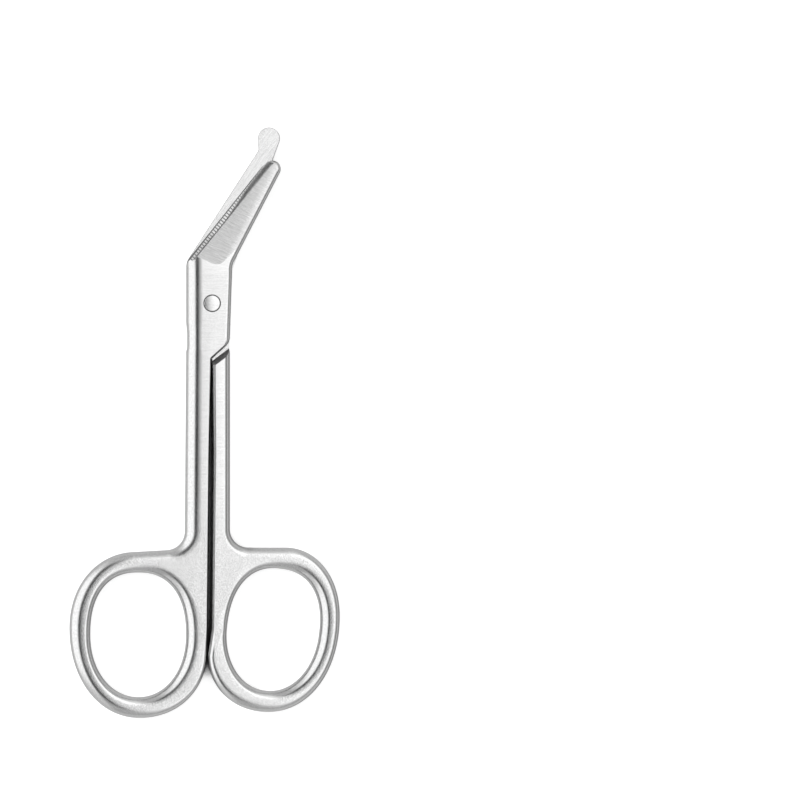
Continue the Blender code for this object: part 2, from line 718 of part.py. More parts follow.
def probe_half():
    """Lower half: probe blade, joint, right shank and right ring."""
    button = Vector((BUTTON_X, BUTTON_Y))
    height_at = thinning(button, BUTTON_HEIGHT)
    blade = round_corners(probe_outline())
    handle = handle_points(blade, lower_handle())
    hole_left = -RING_MEETING + RING_GAP / 2 + RIGHT_INNER_STOCK
    hole_right = RIGHT_RING_SIDE - RING_STOCK
    hole = finger_hole(hole_left, hole_right, -RIGHT_RING_TOP - RING_STOCK,
                       -RIGHT_RING_BOTTOM + RING_STOCK, RIGHT_HOLE_TILT)
    steel = satin_steel("satin_steel_lower")
    piece = plate("probe_blade_half", blade, handle, hole, height_at, steel)
    cut(piece, lap_cutter("lower_lap_cut", UPPER))

    bend_right, bend_left = blade_bends(PROBE_BEND_LEFT, PROBE_BEND_RIGHT)
    neck = Vector((NECK_X, NECK_Y))
    keen = button + point_on(tangent_angle(bend_right, button, BUTTON_RADIUS, 1), BUTTON_RADIUS)
    face_at = ground_face(neck, bend_left, bend_right, height_at)
    corner = Vector((PLUNGE_X, PLUNGE_Y))
    reach = 2 * (JOINT_LEFT + JOINT_RIGHT)
    left_end = corner + point_on(math.pi - PROBE_PLUNGE_RISE, reach)
    right_end = corner + point_on(PROBE_PLUNGE_RISE, reach)
    back = (neck - bend_left).normalized()
    stop = neck - back * PROBE_GRIND_MARGIN
    plan = [vertex(left_end.x, left_end.y, 0, 0)]
    plan.append(vertex(corner.x, corner.y, PLUNGE_FILLET, 0))
    plan.append(vertex(right_end.x, right_end.y, 0, 0))
    for end in (right_end, left_end):
        beside = end + back * (stop - end).dot(back)
        plan.append(vertex(beside.x, beside.y, 0, 0))
    cut(piece, ground_cutter("lower_grinding_cut", LOWER, plan, face_at))
    onward = (keen - bend_right).normalized()
    start = bend_right + onward * PROBE_BEVEL_START
    end = keen - onward * PROBE_BEVEL_MARGIN
    cut(piece, bevel_cutter("lower_bevel_cut", LOWER, start, end, face_at))

    bore = SCREW_RADIUS + SCREW_GAP
    head = HEAD_RADIUS + SCREW_GAP
    reach = HALF_THICKNESS + OVERCUT
    seat = -HALF_THICKNESS + HEAD_SINK + HEAD_LAND + SCREW_GAP
    profile = [(head, -reach), (head, seat), (bore, seat + HEAD_RADIUS - SCREW_RADIUS), (bore, reach)]
    cut(piece, turned("lower_bore_cut", profile))
    return piece


def pivot_screw():
    """Countersunk screw: its slotted head sits in the lower half, its end lies flush on top."""
    bottom = -HALF_THICKNESS + HEAD_SINK
    land = bottom + HEAD_LAND
    cone = land + HEAD_RADIUS - SCREW_RADIUS
    profile = [(HEAD_RADIUS, bottom), (HEAD_RADIUS, land), (SCREW_RADIUS, cone)]
    profile.append((SCREW_RADIUS, HALF_THICKNESS - END_CHAMFER))
    profile.append((SCREW_RADIUS - END_CHAMFER, HALF_THICKNESS))
    piece = turned("pivot_screw", profile, satin_steel("satin_steel_screw"))
    half_width = SLOT_CUT_WIDTH / 2
    reach = HEAD_RADIUS + OVERCUT
    mesh = bmesh.new()
    loops = []
    for height in (bottom - OVERCUT, bottom + SLOT_CUT_DEPTH):
        plan = ((-reach, -half_width), (reach, -half_width), (reach, half_width), (-reach, half_width))
        loops.append([Vector((x, y, height)) for x, y in plan])
    block(mesh, *loops)
    cut(piece, closed_mesh("screw_slot_cut", mesh))
    return piece


def main():
    """Build the three pieces and stand them on the ground, centred on the origin."""
    clear_scene()
    axis = pivot_empty()
    upper, lower, screw = serrated_half(), probe_half(), pivot_screw()
    for item in bpy.data.objects:
        if item is not axis:
            item.parent = axis
    corners = [v.co for piece in (upper, lower) for v in piece.data.vertices]
    left, right = min(c.x for c in corners), max(c.x for c in corners)
    front, back = min(c.y for c in corners), max(c.y for c in corners)
    axis.location = (-(left + right) / 2, -(front + back) / 2, HALF_THICKNESS)


main()
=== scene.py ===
"""Angled bandage scissors in satin stainless steel, lying closed on a pale studio floor.

Each forged half is a ring of vertices laid on its outline, extruded loop by loop over its
rounded edge, filled and then ground and bored. Lengths are in metres. Plan positions are
measured from the pivot and heights from the middle of the stock.
"""

import json
import math
from collections import namedtuple

import bmesh
import bpy
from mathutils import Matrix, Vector


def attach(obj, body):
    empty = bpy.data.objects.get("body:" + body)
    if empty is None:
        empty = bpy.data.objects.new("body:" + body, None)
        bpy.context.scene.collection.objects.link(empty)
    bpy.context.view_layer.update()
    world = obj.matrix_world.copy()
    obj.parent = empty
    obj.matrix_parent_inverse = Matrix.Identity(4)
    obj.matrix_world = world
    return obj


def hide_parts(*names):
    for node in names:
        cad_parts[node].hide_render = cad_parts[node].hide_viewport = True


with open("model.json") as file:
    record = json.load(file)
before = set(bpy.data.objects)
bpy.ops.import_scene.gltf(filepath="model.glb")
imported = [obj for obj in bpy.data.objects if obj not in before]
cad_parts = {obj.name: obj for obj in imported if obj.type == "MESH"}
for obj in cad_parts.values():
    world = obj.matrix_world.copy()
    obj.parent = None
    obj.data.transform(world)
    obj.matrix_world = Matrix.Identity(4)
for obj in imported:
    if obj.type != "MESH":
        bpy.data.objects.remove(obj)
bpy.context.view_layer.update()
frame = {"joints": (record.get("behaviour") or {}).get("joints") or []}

# Stock and fits
THICKNESS = 0.0046
LAP_GAP = 0.00012
RING_GAP = 0.0003

# Widths of the edge roundings, and the heights of a wide, a middling and a narrow one
SHANK_ROUNDING = 0.0027
UNDER_ROUNDING = 0.0018
RIGHT_SHANK_ROUNDING = 0.0028
RING_ROUNDING = 0.0024
INNER_ROUNDING = 0.00065
LEFT_INNER_ROUNDING = 0.00035
HOLE_ROUNDING = 0.0021
LAP_ROUNDING = 0.0006
SPINE_ROUNDING = 0.0018
PROBE_SPINE_ROUNDING = 0.0013
KEEN_ROUNDING = 0.00015
MEETING_ROUNDING = 0.00105
ROUNDING_RISE = 0.0021
SPINE_RISE = 0.0015
INNER_RISE = 0.0012

# The flat that is left on a ring's crest and on an edge's wall
RING_CREST = 0.0001
EDGE_WALL = 0.0001

# Form of the roundings: their extra width where they face left, and how full their ends are
FACING_SHARE = 0.5
CREST_POWER = 0.7
FOOT_POWER = 1.45
HOLE_FOOT_POWER = 2.0
CHAMFER_POWER = 1.8

# Joint
JOINT_LEFT = 0.00626
JOINT_RIGHT = 0.0046
JOINT_FOOT_RIGHT = 0.0041
WAIST_DEPTH = 0.00024
WAIST_TOP = 0.0045
WAIST_BOTTOM = 0.0105
WAIST_RAMP = 0.0010
WAIST_ENTRY = 0.0022
CREASE_LEFT = 0.0065
CREASE_RIGHT = 0.0063

# Lap steps and the sloped shoulders below them
STEP_FOOT = 0.0132
STEP_ANGLE = math.radians(42)
STEP_TOP_FILLET = 0.0032
STEP_FOOT_FILLET = 0.0006
SHOULDER_DROP = 0.0004
SHOULDER_TURN = math.radians(5)
UNDER_SHOULDER_TURN = math.radians(9)
SHOULDER_RUN = 0.0013

# Shanks and the slot between them
SHANK_FOOT_LEFT = 0.0066
SHANK_FOOT_RIGHT = 0.00412
SLOT_TOP_CENTRE = 0.00012
SLOT_TOP_WIDTH = 0.0002
SLOT_LEAN = 0.0102
SLOT_WIDTH = 0.00085
SLOT_WIDE_FROM = 0.0360
SLOT_RING_RUN = 0.0180
LEFT_WEB_RISE = 0.00065
LEFT_WEB_FILLET = 0.0045
RIGHT_WEB_FILLET = 0.0043

# Finger rings, given by the reach of their outer edges; heights run down from a ring's top
RING_STOCK = 0.0049
LEFT_INNER_STOCK = 0.0049
RIGHT_INNER_STOCK = 0.0045
RING_MEETING = 0.00123
LEFT_RING_TOP = 0.05895
LEFT_RING_TOP_X = 0.0180
LEFT_RING_LENGTH = 0.03939
LEFT_RING_BOTTOM_X = 0.0173
LEFT_RING_SIDE = 0.03393
LEFT_RING_SIDE_DROP = 0.01805
LEFT_MEETING_DROP = 0.0240
RIGHT_RING_TOP = 0.05793
RIGHT_RING_TOP_X = 0.0172
RIGHT_RING_LENGTH = 0.03899
RIGHT_RING_BOTTOM_X = 0.0132
RIGHT_RING_SIDE = 0.03019
RIGHT_RING_SIDE_DROP = 0.01627
RIGHT_MEETING_DROP = 0.0254
RIGHT_HOLE_TILT = math.radians(8)
OUTER_EXPONENT = 2.08
HOLE_TOP_EXPONENT = 2.34
HOLE_BOTTOM_EXPONENT = 2.07

# Serrated blade; its bends lie above the ends of the crease
BLADE_BEND_LEFT = 0.0034
BLADE_BEND_RIGHT = 0.0027
BLADE_LEFT_FILLET = 0.0040
BLADE_RIGHT_FILLET = 0.0080
BLADE_TIP_X = 0.0142
BLADE_TIP_Y = 0.0319
BLADE_TIP_RADIUS = 0.0020
BLADE_TIP_HEIGHT = 0.0011
BLANK_RISE = 0.0080
BLANK_RAMP = 0.0040

# Probe blade; its bends lie above the ends of the crease
PROBE_BEND_LEFT = 0.0033
PROBE_BEND_RIGHT = 0.0019
NECK_LEFT = 0.00248
NECK_DROP = 0.00287
NECK_FILLET = 0.0012
BUTTON_X = 0.01338
BUTTON_Y = 0.03917
BUTTON_RADIUS = 0.0026
BUTTON_HEIGHT = 0.0017
BUTTON_ROUNDING = 0.0011
PROBE_EDGE_MARGIN = 0.0048
PROBE_BEVEL_START = 0.0038
PROBE_BEVEL_MARGIN = 0.0066
PROBE_GRIND_MARGIN = 0.0030
LAP_CHAMFER = 0.00012

# Grinding of both blades
SPINE_BAND = 0.0012
GROUND_DEPTH = 0.0005
GRIND_BLEND = 0.0011
EDGE_LAND = 0.00065
BEVEL_WIDTH = 0.0014
BREAK_WIDTH = 0.0004
BREAK_SLOPE = math.radians(16.5)
BREAK_GROWS_FROM = 0.42
BREAK_GROWS_TO = 0.85
STEEPEST_BEVEL = math.radians(41)
LIP_WIDTH = 0.00012
BEVEL_RUN_IN = 0.0040
TRIM_MARGIN = 0.000005
TRIM_RUN = 0.0030
LAND_LEAN = 0.4
PLUNGE_LEAN = math.radians(18)
PLUNGE_X = 0.0016
PLUNGE_Y = 0.0088
PLUNGE_LEFT_RISE = math.radians(24)
PLUNGE_RIGHT_RISE = math.radians(45)
PROBE_PLUNGE_RISE = math.radians(26)
PLUNGE_FILLET = 0.0025

# Serrations
TOOTH_PITCH = 0.00073
TOOTH_WIDTH = 0.00046
TOOTH_DEPTH = 0.00022
TOOTH_START = 0.0012
TOOTH_END_MARGIN = 0.0008
TOOTH_RUN_OUT = 0.0001

# Pivot screw and its bore
SCREW_RADIUS = 0.0019
SCREW_DOME = 0.00005
SCREW_EDGE = 0.00016
BORE_RADIUS = 0.00205
BORE_EDGE = 0.00006
HEAD_RADIUS = 0.0027
HEAD_LAND = 0.0002
HEAD_SINK = 0.0001
HEAD_EDGE = 0.00005
SEAT_GAP = 0.0001
SLOT_CUT_WIDTH = 0.0007
SLOT_CUT_DEPTH = 0.0005

# Smoothness of the curves, and the most of a side that a corner's fillet may use
QUARTER_STEPS = 48
ROUNDING_STEPS = 12
FILLET_STEP = math.radians(3)
TURN_STEPS = 128
BEVEL_STEPS = 16
BLEND_STEPS = 8
SMOOTH_ANGLE = math.radians(24)
FILLET_SHARE = 0.45

# Room that a cutter takes beyond what it cuts
OVERCUT = 0.0010
FAR = 0.0600

# How faces and edges are picked by their direction and place, among them the shoulder and step faces that
# get painted shade
LEVEL_FACING = 0.999
LEVEL_REACH = 0.0010
TOUCHING = 0.000001
SHOULDER_FACING = 0.5
STEP_FACING = 0.3
STEP_REACH = 0.0092

# Finishes, each with its roughness, the depths of its pits and lines, and how much they tint it
Finish = namedtuple("Finish", "roughness pit_depth line_depth pit_tint line_tint")
BLASTED = Finish(0.19, 1.3, 0.2, 0.7, 0.1)
BELT_GROUND = Finish(0.12, 0.2, 0.35, 0.3, 0.3)
CROSS_GROUND = Finish(0.19, 0.2, 1.2, 0.15, 0.6)
DULL = Finish(0.4, 0.5, 0.5, 0.4, 0.35)
HATCHED = Finish(0.2, 0.9, 0.9, 0.6, 0.6)

# Shades of the steel, the two darkest of them painted shade, and the turns of its grinding lines
FORGED_SHADE = 0.77
GROUND_SHADE = 0.74
# Painted shade: the grey of the shoulders, the step's edge, the serration grooves and the lap chamfer
PAINTED_SHADE_GREY = 0.55
# Painted shade: the near-black grey of the cutting edge's leaning wall
PAINTED_LAND_GREY = 0.25
CROSS_TURN = math.radians(24)
HATCH_TURN = math.radians(-50)

# Grain, lines and patches of the steel, and how they change its shade and roughness
BUMP_DISTANCE = 0.00001
GRAIN_SCALE = 3800.0
GRAIN_DETAIL = 3.0
LINE_SCALE = 6000.0
LINE_DETAIL = 2.0
LINE_STRETCH = 0.05
PATCH_SCALE = 160.0
PATCH_DETAIL = 2.0
CLOUD_SHARE = 0.25
DARK_FLECK = 0.89
LIGHT_FLECK = 1.1
FLECK_STEP = (0.35, 0.65)
UNEVEN_STEP = (0.3, 0.7, 0.92, 1.08)

# Where the level faces turn from blasted to ground, by their direction and by their place
FLATS_FACING = (0.985, 0.999)
FLATS_PLACE = (-0.032, -0.012)

# Sockets of a Mix node that blends colours
MIX_SHARE = 0
MIX_FIRST = 6
MIX_SECOND = 7
MIX_RESULT = 2

# Studio light: a step has its start and end on an axis, then the levels before and after it
DOME_POWER = 3.0
DOME_RISE = 0.75
DOME_LEVEL = 0.5
DOME_BY_RINGS = (-0.6, 0.0, 0.86, 1.0)
DOME_BY_BLADES = (0.0, 0.3, 1.0, 1.3)
DOME_ON_RIGHT = (0.15, 0.6, 1.0, 0.45)
OVERHEAD_EDGE = (-0.22, 0.02, 0.0, 1.07)
BESIDE_EDGE = (-0.38, -0.54)
BESIDE_BY_BLADES = (0.45, 0.75, 1.0, 0.6)
BESIDE_BY_RINGS = (-0.25, -0.60, 1.25, 0.7)
GAP_BY_BLADES = (0.30, 0.65, 0.05, 0.5)
GAP_BY_RINGS = (-0.25, -0.60, 0.05, 0.45)
KEY_PLACE = (-0.5, 0.3, 0.5)
KEY_DIRECTION = (-0.80, 0.35, 0.62)
KEY_STRENGTH = 2.6
KEY_ANGLE = math.radians(18)

# Floor: its shade, its glow to the eye and in the steel, and the painted contact shade that darkens its
# colour and glow under and between the parts
FLOOR_SIZE = 6.0
FLOOR_DROP = 0.00005
FLOOR_SHADE = 0.45
SEEN_GLOW = 0.8
MIRRORED_GLOW = 0.05
PAINTED_CONTACT_SHADE = 0.03
CONTACT_REACH = 0.004
CONTACT_STEP = (0.22, 0.44)

# Camera, set so that the frame is as wide as the photo's at the middle of the stock
FRAME_WIDTH = 0.18984
CAMERA_X = 0.04636
CAMERA_Y = 0.00537
CAMERA_HEIGHT = 1.5
CAMERA_CLIP = 0.01
SENSOR_WIDTH = 36.0

UPPER = 1
LOWER = -1
HALF_THICKNESS = THICKNESS / 2
LEFT_RING_BOTTOM = LEFT_RING_TOP + LEFT_RING_LENGTH
RIGHT_RING_BOTTOM = RIGHT_RING_TOP + RIGHT_RING_LENGTH
NECK_X = BUTTON_X - NECK_LEFT
NECK_Y = BUTTON_Y - NECK_DROP
PIVOT = Vector(frame["joints"][0]["pos_m"])


def deselect():
    """Leave no object selected."""
    bpy.ops.object.select_all(action="DESELECT")


def take(piece):
    """Make the piece the only one that is selected and active."""
    deselect()
    piece.select_set(True)
    bpy.context.view_layer.objects.active = piece


def edit(piece):
    """Open the piece for modelling."""
    take(piece)
    bpy.ops.object.mode_set(mode="EDIT")


def leave():
    """Close the piece that is being modelled."""
    bpy.ops.object.mode_set(mode="OBJECT")


def vertex(x, y, fillet, rounding, later_rounding=None):
    """One corner of a plan: its fillet, and the width of the edge rounding before and after it."""
    after = rounding if later_rounding is None else later_rounding
    return Vector((x, y)), fillet, rounding, after


def point_on(angle, radius):
    """A step of the given length at the given angle."""
    return radius * Vector((math.cos(angle), math.sin(angle)))


def arc(centre, radius, first, last, first_rounding, last_rounding):
    """Points of a circle between two angles."""
    steps = max(2, math.ceil(abs(last - first) / FILLET_STEP))
    found = []
    for step in range(steps + 1):
        share = step / steps
        spot = centre + point_on(first + (last - first) * share, radius)
        rounding = first_rounding + (last_rounding - first_rounding) * share
        found.append(vertex(spot.x, spot.y, 0, rounding))
    return found


def quarter(side, end, exponent, first_rounding, last_rounding):
    """A quarter of a superellipse from its upright side point to its level end point."""
    found = []
    for step in range(QUARTER_STEPS + 1):
        share = step / QUARTER_STEPS
        angle = share * math.pi / 2
        x = end.x + (side.x - end.x) * max(0.0, math.cos(angle)) ** (2 / exponent)
        y = side.y + (end.y - side.y) * math.sin(angle) ** (2 / exponent)
        rounding = first_rounding + (last_rounding - first_rounding) * share
        found.append(vertex(x, y, 0, rounding))
    return found


def tangent_angle(point, centre, radius, hand):
    """Angle on the circle where a line from the point touches it, on its right (1) or left (-1)."""
    away = point - centre
    spread = math.acos(min(1.0, radius / away.length))
    return math.atan2(away.y, away.x) + hand * spread


def round_corners(corners):
    """Replace each corner that has a fillet by the arc that touches both its sides."""
    points = []
    for index, (corner, fillet, rounding, after) in enumerate(corners):
        if fillet == 0:
            points.append((corner, rounding))
            continue
        to_last = corners[index - 1][0] - corner
        to_next = corners[(index + 1) % len(corners)][0] - corner
        half = to_last.angle(to_next) / 2
        side = min(to_last.length, to_next.length)
        reach = min(fillet / math.tan(half), FILLET_SHARE * side)
        radius = reach * math.tan(half)
        towards = (to_last.normalized() + to_next.normalized()).normalized()
        centre = corner + towards * radius / math.sin(half)
        start = corner + to_last.normalized() * reach - centre
        finish = corner + to_next.normalized() * reach - centre
        turn = math.atan2(start.cross(finish), start.dot(finish))
        steps = max(2, math.ceil(abs(turn) / FILLET_STEP))
        first = math.atan2(start.y, start.x)
        for step in range(steps + 1):
            share = step / steps
            spot = centre + point_on(first + turn * share, radius)
            points.append((spot, rounding + (after - rounding) * share))
    return points


def inward(points):
    """For each point of a loop, the mitred step that moves both its sides in by one unit."""
    steps = []
    for index, (spot, _) in enumerate(points):
        before = (spot - points[index - 1][0]).normalized()
        after = (points[(index + 1) % len(points)][0] - spot).normalized()
        first = Vector((-before.y, before.x))
        second = Vector((-after.y, after.x))
        steps.append((first + second) / (1 + first.dot(second)))
    return steps


def left_ring_edge():
    """Outer edge of the left ring, from its top over its side and bottom to the other ring."""
    top = Vector((-LEFT_RING_TOP_X, -LEFT_RING_TOP))
    side = Vector((-LEFT_RING_SIDE, -LEFT_RING_TOP - LEFT_RING_SIDE_DROP))
    bottom = Vector((-LEFT_RING_BOTTOM_X, -LEFT_RING_BOTTOM))
    meeting = Vector((-RING_MEETING - RING_GAP / 2, -LEFT_RING_TOP - LEFT_MEETING_DROP))
    edge = quarter(side, top, OUTER_EXPONENT, RING_ROUNDING, RING_ROUNDING)[::-1]
    edge += quarter(side, bottom, OUTER_EXPONENT, RING_ROUNDING, RING_ROUNDING)[1:]
    return edge + quarter(meeting, bottom, OUTER_EXPONENT, MEETING_ROUNDING, RING_ROUNDING)[-2::-1]


def right_ring_edge():
    """Outer edge of the right ring, from the other ring over its bottom and side to its top."""
    top = Vector((RIGHT_RING_TOP_X, -RIGHT_RING_TOP))
    side = Vector((RIGHT_RING_SIDE, -RIGHT_RING_TOP - RIGHT_RING_SIDE_DROP))
    bottom = Vector((RIGHT_RING_BOTTOM_X, -RIGHT_RING_BOTTOM))
    meeting = Vector((-RING_MEETING + RING_GAP / 2, -RIGHT_RING_TOP - RIGHT_MEETING_DROP))
    edge = quarter(meeting, bottom, OUTER_EXPONENT, MEETING_ROUNDING, RING_ROUNDING)
    edge += quarter(side, bottom, OUTER_EXPONENT, RING_ROUNDING, RING_ROUNDING)[-2::-1]
    return edge + quarter(side, top, OUTER_EXPONENT, RING_ROUNDING, RING_ROUNDING)[1:]


def finger_hole(left, right, top, bottom, tilt):
    """A tall oval hole between the given sides, leaning by the tilt and running clockwise."""
    centre = Vector(((left + right) / 2, (top + bottom) / 2))
    half_width = (right - left) / 2
    half_height = (top - bottom) / 2
    steps = 4 * QUARTER_STEPS
    points = []
    for step in range(steps):
        angle = -math.tau * step / steps
        across, along = math.cos(angle), math.sin(angle)
        exponent = HOLE_TOP_EXPONENT if along > 0 else HOLE_BOTTOM_EXPONENT
        x = half_width * math.copysign(abs(across) ** (2 / exponent), across)
        y = half_height * math.copysign(abs(along) ** (2 / exponent), along)
        turned_x = x * math.cos(tilt) + y * math.sin(tilt)
        turned_y = y * math.cos(tilt) - x * math.sin(tilt)
        points.append((centre + Vector((turned_x, turned_y)), HOLE_ROUNDING))
    return points


def slot_side(hand, height):
    """Place of the slot's left (-1) or right (1) side at a height below the pivot."""
    share = min(1.0, (height - STEP_FOOT) / (SLOT_WIDE_FROM - STEP_FOOT))
    middle = -SLOT_TOP_CENTRE - SLOT_LEAN * (height - STEP_FOOT)
    width = SLOT_TOP_WIDTH + (SLOT_WIDTH - SLOT_TOP_WIDTH) * share
    return middle + hand * width / 2


def shank_inner_edge(hand):
    """A shank's inner edge along the slot's left (-1) or right (1) side, from the rings upwards."""
    rounding = LEFT_INNER_ROUNDING if hand < 0 else INNER_ROUNDING
    edge = []
    for height in (LEFT_RING_TOP + SLOT_RING_RUN, SLOT_WIDE_FROM):
        edge.append(vertex(slot_side(hand, height), -height, 0, rounding))
    return edge


def lap_step(half):
    """Slanted end of a half's full width, beside the other half's shank."""
    foot_x = slot_side(-half, STEP_FOOT)
    side_x = JOINT_FOOT_RIGHT if half == UPPER else -JOINT_LEFT + WAIST_DEPTH
    rise = abs(side_x - foot_x) * math.tan(STEP_ANGLE)
    foot = vertex(foot_x, -STEP_FOOT, STEP_FOOT_FILLET, LAP_ROUNDING)
    if half == UPPER:
        return [foot, vertex(side_x, rise - STEP_FOOT, STEP_TOP_FILLET, LAP_ROUNDING, SPINE_ROUNDING)]
    return [vertex(side_x, rise - STEP_FOOT, STEP_TOP_FILLET, UNDER_ROUNDING, LAP_ROUNDING), foot]


def upper_handle():
    """Outline of the upper half below its blade: joint, left shank and left ring."""
    waist = -JOINT_LEFT + WAIST_DEPTH
    ground_away = SHANK_ROUNDING - WAIST_DEPTH
    edge = [vertex(-JOINT_LEFT, -WAIST_TOP, 0, SHANK_ROUNDING)]
    edge.append(vertex(waist, -WAIST_TOP - WAIST_ENTRY, 0, ground_away))
    edge.append(vertex(waist, -WAIST_BOTTOM, 0, ground_away))
    edge.append(vertex(-JOINT_LEFT, -WAIST_BOTTOM - WAIST_RAMP, 0, SHANK_ROUNDING))
    web = -LEFT_RING_TOP + LEFT_WEB_RISE
    edge.append(vertex(-SHANK_FOOT_LEFT, web, LEFT_WEB_FILLET, SHANK_ROUNDING, RING_ROUNDING))
    edge += left_ring_edge()
    edge += shank_inner_edge(-1)
    return edge + lap_step(UPPER)


def lower_handle():
    """Outline of the lower half below its blade: joint, right shank and right ring."""
    waist = JOINT_FOOT_RIGHT - WAIST_DEPTH
    edge = [vertex(-JOINT_LEFT, -WAIST_TOP, 0, UNDER_ROUNDING)]
    edge += lap_step(LOWER)
    edge += shank_inner_edge(1)[::-1]
    edge += right_ring_edge()
    web = vertex(SHANK_FOOT_RIGHT, -RIGHT_RING_TOP, RIGHT_WEB_FILLET, RING_ROUNDING, RIGHT_SHANK_ROUNDING)
    edge.append(web)
    edge.append(vertex(SHANK_FOOT_RIGHT, -WAIST_BOTTOM - WAIST_RAMP, 0, RIGHT_SHANK_ROUNDING))
    edge.append(vertex(waist, -WAIST_BOTTOM, 0, RIGHT_SHANK_ROUNDING))
    edge.append(vertex(JOINT_FOOT_RIGHT, -WAIST_TOP - WAIST_ENTRY, 0, SPINE_ROUNDING))
    return edge


def crease_ends():
    """Ends of the line across the joint where both blades begin to thin."""
    return Vector((JOINT_RIGHT, CREASE_RIGHT)), Vector((-JOINT_LEFT, CREASE_LEFT))


def blade_bends(rise_left, rise_right):
    """Corners where a blade turns off the joint, at the given rises above the crease."""
    right, left = crease_ends()
    return right + Vector((0, rise_right)), left + Vector((0, rise_left))


def serrated_outline():
    """Outline of the serrated blade, from the right of the joint round its tip to the left."""
    right, left = crease_ends()
    bend_right, bend_left = blade_bends(BLADE_BEND_LEFT, BLADE_BEND_RIGHT)
    tip = Vector((BLADE_TIP_X, BLADE_TIP_Y))
    first = tangent_angle(bend_right, tip, BLADE_TIP_RADIUS, 1)
    last = tangent_angle(bend_left, tip, BLADE_TIP_RADIUS, -1) + math.tau
    edge = [vertex(right.x, right.y, 0, SPINE_ROUNDING)]
    edge.append(vertex(bend_right.x, bend_right.y, BLADE_RIGHT_FILLET, SPINE_ROUNDING))
    edge += arc(tip, BLADE_TIP_RADIUS, first, last, SPINE_ROUNDING, KEEN_ROUNDING)
    edge.append(vertex(left.x, left.y + BLANK_RISE + BLANK_RAMP, 0, KEEN_ROUNDING))
    edge.append(vertex(left.x, left.y + BLANK_RISE, 0, SHANK_ROUNDING))
    edge.append(vertex(left.x, left.y, 0, SHANK_ROUNDING))
    return edge


def probe_outline():
    """Outline of the probe blade, from the right of the joint round its button to the left."""
    right, left = crease_ends()
    bend_right, bend_left = blade_bends(PROBE_BEND_LEFT, PROBE_BEND_RIGHT)
    neck = Vector((NECK_X, NECK_Y))
    button = Vector((BUTTON_X, BUTTON_Y))
    first = tangent_angle(bend_right, button, BUTTON_RADIUS, 1)
    last = tangent_angle(neck, button, BUTTON_RADIUS, -1) + math.tau
    edge = [vertex(right.x, right.y, 0, SPINE_ROUNDING)]
    edge.append(vertex(bend_right.x, bend_right.y, BLADE_RIGHT_FILLET, KEEN_ROUNDING))
    round_button = arc(button, BUTTON_RADIUS, first, last, BUTTON_ROUNDING, BUTTON_ROUNDING)
    touch = round_button[0][0]
    foot = touch - (touch - bend_right).normalized() * PROBE_EDGE_MARGIN
    edge.append(vertex(foot.x, foot.y, 0, KEEN_ROUNDING))
    edge += round_button
    edge.append(vertex(neck.x, neck.y, NECK_FILLET, BUTTON_ROUNDING))
    edge.append(vertex(bend_left.x, bend_left.y, BLADE_LEFT_FILLET, PROBE_SPINE_ROUNDING))
    edge.append(vertex(left.x, left.y, 0, UNDER_ROUNDING))
    return edge


def handle_points(blade, handle):
    """Points of a handle's outline, rounded where it leaves the ends of its blade."""
    left, right = blade[-1][0], blade[0][0]
    joined = [vertex(left.x, left.y, 0, 0)] + handle + [vertex(right.x, right.y, 0, 0)]
    return round_corners(joined)[1:-1]


def thinning(tip, tip_height):
    """Half thickness over the plan: even up to the crease, then falling evenly to the tip."""
    right, left = crease_ends()
    along = (right - left).normalized()
    onward = Vector((-along.y, along.x))
    reach = (tip - left).dot(onward)
    slope = (HALF_THICKNESS - tip_height) / reach

    def height_at(place):
        return HALF_THICKNESS - slope * max(0.0, (place - left).dot(onward))

    return height_at


def between(value, low, high, first, last):
    """A value's place between two others, carried over to a second pair."""
    share = min(1.0, max(0.0, (value - low) / (high - low)))
    return first + (last - first) * share


def rounding_rise(width):
    """Height of an edge rounding: a narrow one is steep and a wide one is flat."""
    if width <= INNER_ROUNDING:
        return width * INNER_RISE / INNER_ROUNDING
    if width <= SPINE_ROUNDING:
        return between(width, INNER_ROUNDING, SPINE_ROUNDING, INNER_RISE, SPINE_RISE)
    return between(width, SPINE_ROUNDING, RIGHT_SHANK_ROUNDING, SPINE_RISE, ROUNDING_RISE)


def rounding_powers(width, foot_power):
    """How round an edge is at its crest and foot: a narrow one is close to a chamfer."""
    crest = between(width, INNER_ROUNDING, MEETING_ROUNDING, CHAMFER_POWER, CREST_POWER)
    return crest, between(width, INNER_ROUNDING, MEETING_ROUNDING, CHAMFER_POWER, foot_power)


def fitted_roundings(points, others):
    """Narrow the roundings where the stock to the other loop has no room for both sides' own."""
    fitted = []
    for spot, rounding in points:
        stock = min((spot - other).length for other, _ in others)
        fitted.append((spot, min(rounding, (stock - RING_CREST) / 2)))
    return fitted


def edge_loops(points, height_at, foot_power):
    """Loops of a rounded edge, wider where it faces left, from the lower face to the upper face."""
    steps = inward(points)
    upper = []
    for level in range(ROUNDING_STEPS + 1):
        angle = level / ROUNDING_STEPS * math.pi / 2
        loop = []
        for (spot, wanted), step in zip(points, steps):
            rise = min(rounding_rise(wanted), height_at(spot) - EDGE_WALL)
            width = wanted * (1 + FACING_SHARE * step.normalized().x)
            crest, foot = rounding_powers(wanted, foot_power)
            place = spot + step * width * (1 - max(0.0, math.cos(angle)) ** crest)
            height = height_at(place) - rise * (1 - math.sin(angle) ** foot)
            loop.append(Vector((place.x, place.y, height)))
        upper.append(loop)
    lower = [[Vector((p.x, p.y, -p.z)) for p in loop] for loop in reversed(upper)]
    return lower + upper


def stations_of(mesh):
    """Layers that number a vertex's place on its loop, its loop, and the rim that it is on."""
    layers = mesh.verts.layers.int
    return [layers.get(name) or layers.new(name) for name in ("station", "level", "rim")]


